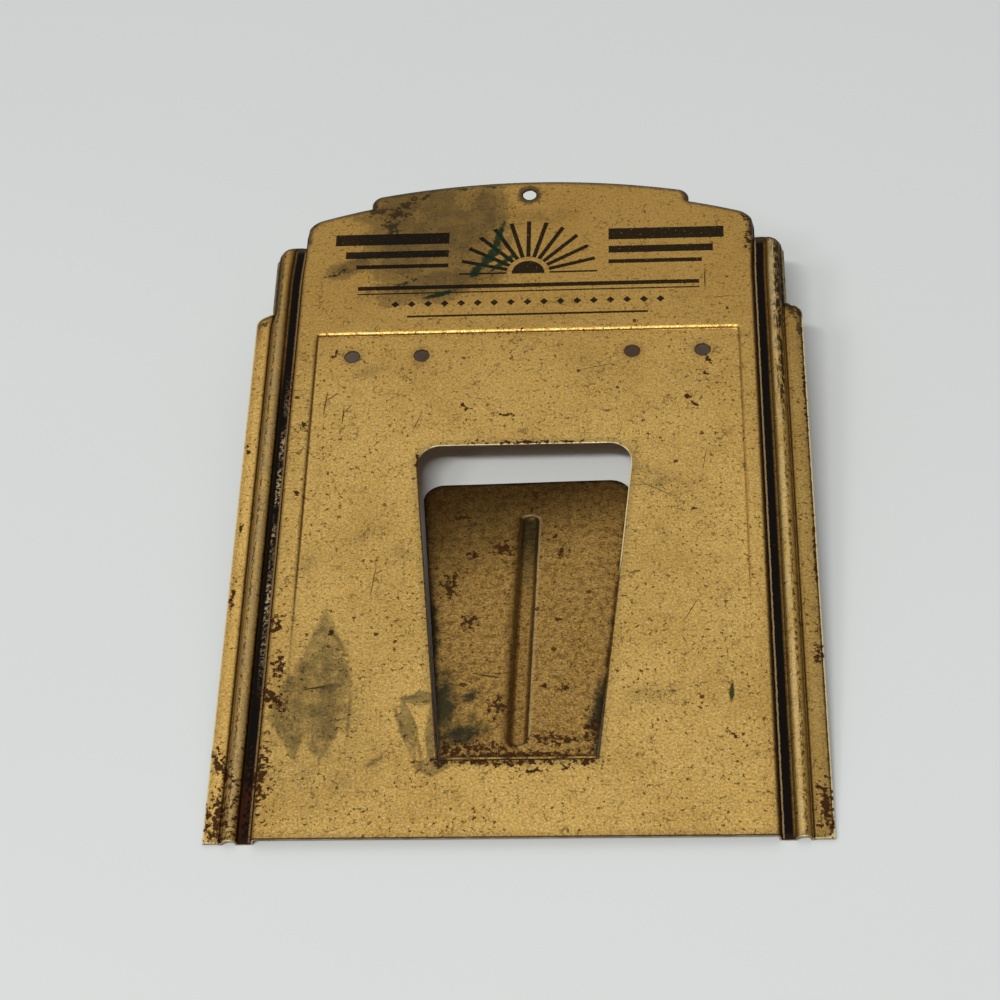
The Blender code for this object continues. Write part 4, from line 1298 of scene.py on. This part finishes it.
    # Painted highlights on the cut edges that face the light
    facing = add_node(tree, "Math", (y, WINDOW_HIGHLIGHT_LEAN, x), operation="MULTIPLY_ADD")
    facing = band_between(tree, facing, *WINDOW_HIGHLIGHT)
    inside = band_between(tree, y, *WINDOW_HIGHLIGHT_HEIGHT)
    shine = add_node(tree, "MapRange", (shaken, *EDGE_HIGHLIGHT), **SMOOTH)
    inner = add_node(tree, "Math", (facing, inside), operation="MULTIPLY")
    inner = add_node(tree, "Math", (inner, within), operation="MULTIPLY")
    outer = add_node(tree, "Math", (OUTER_HIGHLIGHT, within), operation="SUBTRACT")
    shown = combined(tree, (inner, outer), "MAXIMUM")
    colour = lay_over(tree, colour, colours.glint, 0.95, shine, shown)

    coarse = specks(tree, place, *PLATE_SPECKS)
    smears = crowded_pits(tree, place, DARK_SMEARS, grain=1.2)
    green = mark_mask(tree, place, GREEN_STROKES, ragged=2.0, grain=0.8, soft=0.4)
    rust = crowded_pits(tree, place, RUST_SPOTS + CORNER_RUST + FOLD_RUST, grain=0.9)
    scratched = mark_mask(tree, place, SCRATCHES, ragged=1.6, grain=0.8, soft=0.5)
    for coat, cover, mask in (
            (colours.verdigris, 0.90, green), (colours.rust, 0.90, coarse),
            (colours.enamel, 0.80, smears), (colours.rust, 0.97, rust),
            (colours.rust, 0.80, scratched)):
        colour = lay_over(tree, colour, coat, cover, mask)

    dulled = add_node(tree, "Math", (stains, STAIN_COVER), operation="MULTIPLY")
    covered = combined(tree, (ink, enamel, smears, rust, coarse, dulled), "MAXIMUM")
    finish_metal(tree, shader, colour, covered, skin, coarse, PLATE_GLOSS)
    return material


# Bands across the strut's bead, with rust, painted shade down its left flank and a painted highlight along
# its right lip: mm from its middle line, colour's name, cover
BEAD_SHADE_AND_HIGHLIGHT_BANDS = [
    (-3.1, "tarnish", 0.0), (-2.3, "tarnish", 0.50), (-1.75, "rust", 0.88),
    (-1.35, "tarnish", 0.85), (-0.80, "tarnish", 0.22), (0.75, "tarnish", 0.18),
    (1.10, "tarnish", 0.70), (1.42, "rust", 0.80), (1.70, "glint", 0.16), (2.1, "glint", 0.0),
]
BEAD_BANDS_HALF = 3.2
BEAD_HOLLOW = (-1.2, 1.2, 0.4)
# Height over which the bead's hollow darkens towards the top
BEAD_HOLLOW_DARK_RISE = (30.0, 48.0)
# The painted highlight on the bead's right side also runs round its top end
BEAD_TOP_TURN = 1.6
# Ragged line of the strut's bands and its soot: grain, noise's detail and roughness, swing
STRUT_GRAIN = 3.0
STRUT_NOISE = (6.0, 0.72)
STRUT_SWING = 0.5
# Darkening towards the tip and the right, grime with painted shade under the plate: its lean, its rise in
# mm, its noise and its levels
TIP_DARKENING_LEAN = -0.55
TIP_DARKENING_RISE = (26.0, 66.0)
TIP_DARKENING_SWING = 0.8
TIP_DARKENING_LEVELS = (0.50, 1.35)
RIM_SOOT_SWING = 2.2
RIM_SOOT = (1.9, 1.1)


def off_bead(tree, place, sizes):
    """Return the distance in mm from the bead's middle line, less than 0 on its left."""
    start, end = bead_line(sizes)
    way = (end - start).normalized()
    apart = add_node(tree, "VectorMath", (place, (start / MM).to_3d()), operation="SUBTRACT")
    along = add_node(tree, "VectorMath", (apart, way.to_3d()), operation="DOT_PRODUCT")
    aside = add_node(tree, "VectorMath", (apart, (way.y, -way.x, 0)), operation="DOT_PRODUCT")
    within = add_node(tree, "Math", (along, (end - start).length / MM), operation="MINIMUM")
    over = add_node(tree, "Math", (along, within), operation="SUBTRACT")
    within = add_node(tree, "Math", (within, 0.0), operation="MAXIMUM")
    beyond = add_node(tree, "Math", (along, within), operation="SUBTRACT")
    square = add_node(tree, "Math", (beyond, beyond), operation="MULTIPLY")
    square = add_node(tree, "Math", (aside, aside, square), operation="MULTIPLY_ADD")
    away = add_node(tree, "Math", (square,), operation="SQRT")
    side = add_node(tree, "Math", (over, BEAD_TOP_TURN, aside), operation="MULTIPLY_ADD")
    side = add_node(tree, "Math", (side,), operation="SIGN")
    return add_node(tree, "Math", (away, side), operation="MULTIPLY")


def dulled_gold_lacquer(colours, sizes):
    """Gold-lacquered tinplate that has gone brown and greasy behind the plate.

    It reads as old brown gold with dark stains towards its tip and its edges; the darkening towards its tip
    is partly painted shade, and its bead carries painted shade and a painted highlight.
    """
    material, tree, shader = new_finish("Dulled gold lacquered tinplate")
    place = add_node(tree, "Attribute", attribute_name="flat_mm").outputs["Vector"]
    edge = add_node(tree, "Attribute", attribute_name="edge_mm").outputs["Fac"]
    bead = off_bead(tree, place, sizes)
    parts = add_node(tree, "SeparateXYZ", (place,))
    x, y = parts.outputs[0], parts.outputs[1]
    colour, skin = lacquered_gold(tree, place, colours, colours.brown_gold, colours.deep_gold,
                                  cloud=7.0, contrast=0.50)
    colour = lay_over(tree, colour, colours.tarnish, 0.55, patches(tree, place, *STRUT_DIRT))

    patchy = add_node(tree, "TexNoise", (place, 1 / STRUT_GRAIN, *STRUT_NOISE))
    # Darkening towards the tip, grime with painted shade under the plate
    climb = add_node(tree, "Math", (x, TIP_DARKENING_LEAN, y), operation="MULTIPLY_ADD")
    climb = add_node(tree, "MapRange", (climb, *TIP_DARKENING_RISE), **SMOOTH)
    dark = add_node(tree, "Math", (patchy, TIP_DARKENING_SWING, climb), operation="MULTIPLY_ADD")
    dark = add_node(tree, "MapRange", (dark, *TIP_DARKENING_LEVELS), **SMOOTH)
    colour = lay_over(tree, colour, colours.soot, 0.66, dark)

    # Rust, painted shade and a painted highlight across the bead
    middle = STRUT_SWING / 2
    share = add_node(tree, "Math", (patchy, STRUT_SWING, bead), operation="MULTIPLY_ADD")
    share = add_node(tree, "MapRange", (share, middle - BEAD_BANDS_HALF,
                                        middle + BEAD_BANDS_HALF), clamp=False)
    stops = [((mm / BEAD_BANDS_HALF + 1) / 2, opaque(getattr(colours, name), cover))
             for mm, name, cover in BEAD_SHADE_AND_HIGHLIGHT_BANDS]
    bands = add_node(tree, "ValToRGB", (share,), stops=stops)
    colour = lay_over(tree, colour, bands.outputs["Color"], 1.0, bands.outputs["Alpha"])
    # The bead's hollow darkens towards the top
    hollow = band_between(tree, bead, *BEAD_HOLLOW)
    upper = add_node(tree, "MapRange", (y, *BEAD_HOLLOW_DARK_RISE), **SMOOTH)
    colour = lay_over(tree, colour, colours.stain, 0.72, hollow, upper)

    stains = mark_mask(tree, place, STRUT_STAINS, ragged=2.4, grain=4.0, soft=0.8)
    colour = lay_over(tree, colour, colours.stain, 0.94, stains)
    rim = add_node(tree, "Math", (patchy, RIM_SOOT_SWING, edge), operation="MULTIPLY_ADD")
    rim = add_node(tree, "MapRange", (rim, *RIM_SOOT), **SMOOTH)
    colour = lay_over(tree, colour, colours.soot, 0.85, rim)
    rust = crowded_pits(tree, place, STRUT_RUST, grain=0.9)
    colour = lay_over(tree, colour, colours.rust, 0.94, rust)
    scratched = mark_mask(tree, place, STRUT_SCRATCHES, ragged=1.4, grain=0.8, soft=0.5)
    colour = lay_over(tree, colour, colours.enamel, 0.80, scratched)
    coarse = specks(tree, place, *STRUT_SPECKS)
    colour = lay_over(tree, colour, colours.rust, 0.88, coarse)

    dulled = add_node(tree, "Math", (stains, STRUT_STAIN_COVER), operation="MULTIPLY")
    covered = combined(tree, (rust, coarse, dulled), "MAXIMUM")
    finish_metal(tree, shader, colour, covered, skin, coarse, STRUT_GLOSS)
    return material


def plain_back(colours):
    """Back of the sheet: thin brown wash coat over tinplate, dull and speckled with rust.

    It shows brown gold, and warms the shade under the sign.
    """
    material, tree, shader = new_finish("Washed tinplate back")
    place = add_node(tree, "Attribute", attribute_name="flat_mm").outputs["Vector"]
    worn = patches(tree, place, *BACK_WEAR)
    colour = lay_over(tree, colours.wash, colours.worn_tin, 0.25, worn)
    colour = lay_over(tree, colour, colours.tarnish, 0.55, patches(tree, place, *BACK_TARNISH))
    spots = specks(tree, place, *BACK_SPECKS)
    colour = lay_over(tree, colour, colours.rust, 0.85, spots)
    metal = add_node(tree, "MapRange", (spots, 0.0, 1.0, *BACK_METAL), **SMOOTH)
    gloss = add_node(tree, "MapRange", (worn, 0.0, 1.0, *BACK_GLOSS), **SMOOTH)
    fill_inputs(tree, shader, {"Base Color": colour, "Metallic": metal, "Roughness": gloss})
    return material


def sheared_edge(colours):
    """Sheared tinplate edge: a bright grey cut that has rusted brown in stretches."""
    material, tree, shader = new_finish("Sheared tinplate edge")
    place = add_node(tree, "Attribute", attribute_name="flat_mm").outputs["Vector"]
    patch = add_node(tree, "TexNoise", (place, 1 / CUT_GRAIN, *CUT_NOISE))
    share = add_node(tree, "MapRange", (patch, *CUT_LEVELS))
    colour = lay_over(tree, colours.tarnish, colours.tin, share)
    metal = add_node(tree, "MapRange", (share, 0.0, 1.0, *CUT_METAL))
    fill_inputs(tree, shader, {"Base Color": colour, "Metallic": metal, "Roughness": CUT_GLOSS})
    return material


def pale_table(colours):
    """Painted table top: a plain pale grey with the faintest mottle, which keeps soft shadows."""
    material, tree, shader = new_finish("Pale painted table")
    place = add_node(tree, "TexCoord").outputs["Object"]
    cloud = add_node(tree, "TexNoise", (place, *TABLE_NOISE))
    tone = add_node(tree, "MapRange", (cloud, 0.0, 1.0, *TABLE_TONES))
    base = add_node(tree, "RGB")
    base.outputs[0].default_value = opaque(colours.table)
    lit = add_node(tree, "VectorMath", (base, tone), operation="MULTIPLY")
    fill_inputs(tree, shader, {"Base Color": lit, "Roughness": TABLE_GLOSS,
                               "Specular IOR Level": TABLE_SPECULAR})
    return material


def shared_finish(name, make, *settings):
    """Return a material, made once and used by several pieces."""
    return bpy.data.materials.get(name) or make(*settings)


class SIGN_OT_face_plate(bpy.types.Operator):
    """Stamp the face plate: face, rim, panel, channels, ribs, flanges, window and holes"""

    bl_idname = "sign.face_plate"
    bl_label = "Face Plate"

    def execute(self, context):
        sizes, colours = context.scene.sign_sizes, context.scene.sign_colours
        outline = top_outline()
        window = [Vector((point.x, point.y + FOLD_HEIGHT)) for point in window_outline(0.0)]
        band = [Vector((point.x, point.y + FOLD_HEIGHT))
                for point in window_outline(-sizes.edge_band)]
        bm = bmesh.new()
        add_face_sheet(bm, outline)
        add_panel_lines(bm, sizes.grid)
        add_side_strips(bm)
        mirror_half(bm)
        for ring in hole_outlines(sizes.edge_band) + [band]:
            score(bm, ring)
        for hole in hole_outlines() + [window]:
            punch(bm, hole)
        side = [Vector((HEADER_SIDE, RIB_TOP)), Vector((FLANGE_START, RIB_TOP)),
                Vector((FLANGE_START, FLANGE_TOP)), Vector((PLATE_WIDTH / 2, FLANGE_TOP)),
                Vector((PLATE_WIDTH / 2, 0)), Vector((0, 0))]
        closed = [hole + hole[:1] for hole in hole_outlines() + [window]]
        note_flat_places(bm, [outline, side] + closed)
        press_plate(bm, outline, sizes)
        front = gold_lacquered_tinplate(colours, sizes)
        back = shared_finish("Washed tinplate back", plain_back, colours)
        cut_edge = shared_finish("Sheared tinplate edge", sheared_edge, colours)
        piece = finish_sheet(bm, "sign_face", PLATE_FRAME, (front, back, cut_edge))
        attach(piece, "plate")
        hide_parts("face_plate")
        return {"FINISHED"}


def bead_outline(sizes, inset):
    """Return the round-ended outline of the bead pressed along the strut."""
    radius = BEAD_WIDTH / 2 - inset
    start, end = bead_line(sizes)
    points = arc(start, radius, math.pi, 2 * math.pi, CORNER_STEPS)
    points += arc(end, radius, 0.0, math.pi, CORNER_STEPS)
    return points


def press_strut(bm, sizes):
    """Press the bead into the flat strut, and dent the sheet a little."""
    edge = bm.verts.layers.float["edge_mm"]
    start, end = bead_line(sizes)
    for vert in bm.verts:
        spot = vert.co.to_2d()
        away = edge_distance(spot, [start, end])
        inwards = BEAD_WIDTH / 2 - away
        climb = ease(spot.y / BEAD_LENGTH)
        deepest = BEAD_FOOT_DEPTH + (BEAD_TOP_DEPTH - BEAD_FOOT_DEPTH) * climb
        bead = deepest * ease(inwards / BEAD_FLANK)
        roll = sizes.edge_roll * max(0.0, 1 - vert[edge] * MM / sizes.edge_band) ** 2
        fade = ease(spot.y / FAR) * ease((STRUT_LENGTH - spot.y) / FAR)
        wave = dent(spot.x + STRUT_DENT_SHIFT, spot.y + STRUT_DENT_SHIFT, sizes)
        twist = sizes.strut_twist * ease(spot.x / WINDOW_TOP_WIDTH + 0.5) * climb
        wave *= STRUT_DENT_SHARE
        vert.co.z = SHEET / 2 - bead + fade * (wave - roll) + twist


class SIGN_OT_easel_strut(bpy.types.Operator):
    """Stamp the easel strut with its long stiffening bead"""

    bl_idname = "sign.easel_strut"
    bl_label = "Easel Strut"

    def execute(self, context):
        sizes, colours = context.scene.sign_sizes, context.scene.sign_colours
        outline = [point - Vector((0, CLEARANCE)) for point in window_outline(CLEARANCE)]
        inner = [point - Vector((0, CLEARANCE))
                 for point in window_outline(CLEARANCE + sizes.edge_band)]
        bm = bmesh.new()
        face = bm.faces.new([bm.verts.new((*point, 0.0)) for point in outline])
        face.normal_update()
        for row in rows_between(0.0, STRUT_LENGTH, sizes.grid, []):
            cut(bm, bm.faces, (0, row, 0), (0, 1, 0))
        half = WINDOW_TOP_WIDTH / 2
        for column in rows_between(-half, half, sizes.grid, []):
            cut(bm, bm.faces, (column, 0, 0), (1, 0, 0))
        score(bm, inner)
        for ring in range(BEAD_RINGS + 1):
            score(bm, bead_outline(sizes, BEAD_FLANK * ring / BEAD_RINGS))
        edges = [outline + outline[:1]]
        note_flat_places(bm, edges)
        press_strut(bm, sizes)
        front = dulled_gold_lacquer(colours, sizes)
        back = shared_finish("Washed tinplate back", plain_back, colours)
        cut_edge = shared_finish("Sheared tinplate edge", sheared_edge, colours)
        piece = finish_sheet(bm, "sign_strut", STRUT_FRAME, (front, back, cut_edge))
        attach(piece, "strut")
        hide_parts("easel_strut")
        return {"FINISHED"}


class SIGN_OT_fold_web(bpy.types.Operator):
    """Bend the sheet that joins the plate to the strut along the fold line"""

    bl_idname = "sign.fold_web"
    bl_label = "Fold Web"

    def execute(self, context):
        colours = context.scene.sign_colours
        half = WINDOW_FOOT_WIDTH / 2 - CLEARANCE
        bm = bmesh.new()
        verts = [bm.verts.new((side * half, FOLD_HEIGHT, 0.0)) for side in (-1, 1)]
        edges = [bm.edges.new(verts)]
        for step in range(1, FOLD_STEPS + 1):
            share = step / FOLD_STEPS
            grown = bmesh.ops.extrude_edge_only(bm, edges=edges)["geom"]
            for vert in [item for item in grown if isinstance(item, bmesh.types.BMVert)]:
                vert.co.y = FOLD_HEIGHT + CLEARANCE * share
            edges = [item for item in grown if isinstance(item, bmesh.types.BMEdge)
                     and all(abs(vert.co.y - FOLD_HEIGHT - CLEARANCE * share) < TOUCH
                             for vert in item.verts)]
        for column in rows_between(-half, half, WEB_SPACING, []):
            cut(bm, bm.faces, (column, 0, 0), (1, 0, 0))
        bmesh.ops.recalc_face_normals(bm, faces=bm.faces)
        if sum(face.normal.z for face in bm.faces) < 0:
            bmesh.ops.reverse_faces(bm, faces=bm.faces)
        note_flat_places(bm, [])
        front = bpy.data.materials["Dulled gold lacquered tinplate"]
        cut_edge = shared_finish("Sheared tinplate edge", sheared_edge, colours)
        piece = finish_sheet(bm, "fold_web", PLATE_FRAME, (front, cut_edge, cut_edge))
        start = PLATE_FRAME @ Vector((0, FOLD_HEIGHT, -SHEET / 2))
        end = PLATE_FRAME @ Vector((0, FOLD_HEIGHT + CLEARANCE, -SHEET / 2))
        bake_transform(piece, "plate", "strut", start=start, end=end)
        return {"FINISHED"}


# Light of the room, brightest overhead and a little beyond the sign: share of the way, level
ROOM_TURN = (-0.10, 0.45, 0.88)
ROOM_LIGHT = [(0.0, 0.10), (0.45, 0.24), (0.70, 0.50), (0.85, 0.82), (0.96, 1.0)]
LAMP_PLACE = (-0.28, -1.08, 1.66)
WINDOW_PLACE = (-1.04, -0.96, 1.50)
FLOOR_SIDE = 6.0


class SIGN_OT_stage(bpy.types.Operator):
    """Set the table, the room's light, the overhead lamp and the camera"""

    bl_idname = "sign.stage"
    bl_label = "Stage"

    def execute(self, context):
        scene, light = context.scene, context.scene.sign_light
        self.add_floor(scene)
        self.add_room(scene, light)
        self.add_lamp(scene, "Softbox", LAMP_PLACE, light.lamp, light.lamp_length,
                      light.lamp_width)
        self.add_lamp(scene, "Window", WINDOW_PLACE, light.window, light.window_size,
                      light.window_size)
        self.add_camera(scene, light)
        return {"FINISHED"}

    def add_floor(self, scene):
        """Lay a plain table under the sign."""
        bm = bmesh.new()
        bmesh.ops.create_grid(bm, x_segments=1, y_segments=1, size=FLOOR_SIDE / 2)
        mesh = bpy.data.meshes.new("table_top")
        bm.to_mesh(mesh)
        bm.free()
        mesh.materials.append(pale_table(scene.sign_colours))
        floor = bpy.data.objects.new("table_top", mesh)
        scene.collection.objects.link(floor)

    def add_room(self, scene, light):
        """Light the room softly, brighter overhead and far off than behind the camera."""
        world = bpy.data.worlds.new("Soft room")
        world.use_nodes = True
        scene.world = world
        tree = world.node_tree
        direction = add_node(tree, "TexCoord").outputs["Generated"]
        facing = add_node(tree, "VectorMath", (direction, ROOM_TURN), operation="DOT_PRODUCT")
        stops = [(place, opaque((level,) * 3)) for place, level in ROOM_LIGHT]
        ramp = add_node(tree, "ValToRGB", (facing,), stops=stops)
        fill_inputs(tree, tree.nodes["Background"], {"Color": ramp, "Strength": light.sky})

    def add_lamp(self, scene, name, place, power, length, width):
        """Hang one lamp that faces the sign, its length across the sign."""
        lamp = bpy.data.lights.new(name, "AREA")
        lamp.shape = "RECTANGLE"
        lamp.energy = power
        lamp.size = length
        lamp.size_y = width
        holder = bpy.data.objects.new(name, lamp)
        holder.location = place
        holder.rotation_euler = (-Vector(place)).to_track_quat("-Z", "Y").to_euler()
        scene.collection.objects.link(holder)

    def add_camera(self, scene, light):
        """Stand the camera where the sign is seen from below its foot."""
        camera = bpy.data.cameras.new("Camera")
        camera.lens = light.lens
        camera.sensor_width = CAMERA_SENSOR
        camera.clip_start = CAMERA_NEAR
        place, aim = Vector(CAMERA_PLACE), Vector(CAMERA_AIM)
        forward = (aim - place).normalized()
        right = forward.cross(Vector(CAMERA_UP)).normalized()
        turn = Matrix((right, right.cross(forward), -forward)).transposed().to_4x4()
        holder = bpy.data.objects.new("Camera", camera)
        holder.matrix_world = PLATE_FRAME @ Matrix.Translation(place * MM) @ turn
        scene.collection.objects.link(holder)
        scene.camera = holder
        scene.view_settings.view_transform = "Standard"


class SIGN_PT_builder(bpy.types.Panel):
    """Lists what builds the sign and what can be changed"""

    bl_idname = "SIGN_PT_builder"
    bl_label = "Sign Plate"
    bl_space_type = "VIEW_3D"
    bl_region_type = "UI"
    bl_category = "Sign"

    def draw(self, context):
        layout = self.layout
        for operator in OPERATORS:
            layout.operator(operator.bl_idname)
        for group in (context.scene.sign_sizes, context.scene.sign_colours,
                      context.scene.sign_light):
            box = layout.box()
            # The first two of a group's properties are Blender's own
            for name in group.bl_rna.properties.keys()[2:]:
                box.prop(group, name)


OPERATORS = (SIGN_OT_face_plate, SIGN_OT_easel_strut, SIGN_OT_fold_web, SIGN_OT_stage)
CLASSES = (SignSizes, SignColours, SignLight, *OPERATORS, SIGN_PT_builder)


def register():
    """Register the classes and hang their settings on the scene."""
    for item in CLASSES:
        bpy.utils.register_class(item)
    bpy.types.Scene.sign_sizes = bpy.props.PointerProperty(type=SignSizes)
    bpy.types.Scene.sign_colours = bpy.props.PointerProperty(type=SignColours)
    bpy.types.Scene.sign_light = bpy.props.PointerProperty(type=SignLight)


def unregister():
    """Take the settings off the scene and unregister the classes."""
    del bpy.types.Scene.sign_sizes
    del bpy.types.Scene.sign_colours
    del bpy.types.Scene.sign_light
    for item in reversed(CLASSES):
        bpy.utils.unregister_class(item)


def main():
    """Build every piece in order."""
    register()
    bpy.ops.sign.face_plate()
    bpy.ops.sign.easel_strut()
    bpy.ops.sign.fold_web()
    bpy.ops.sign.stage()


if __name__ == "__main__":
    main()
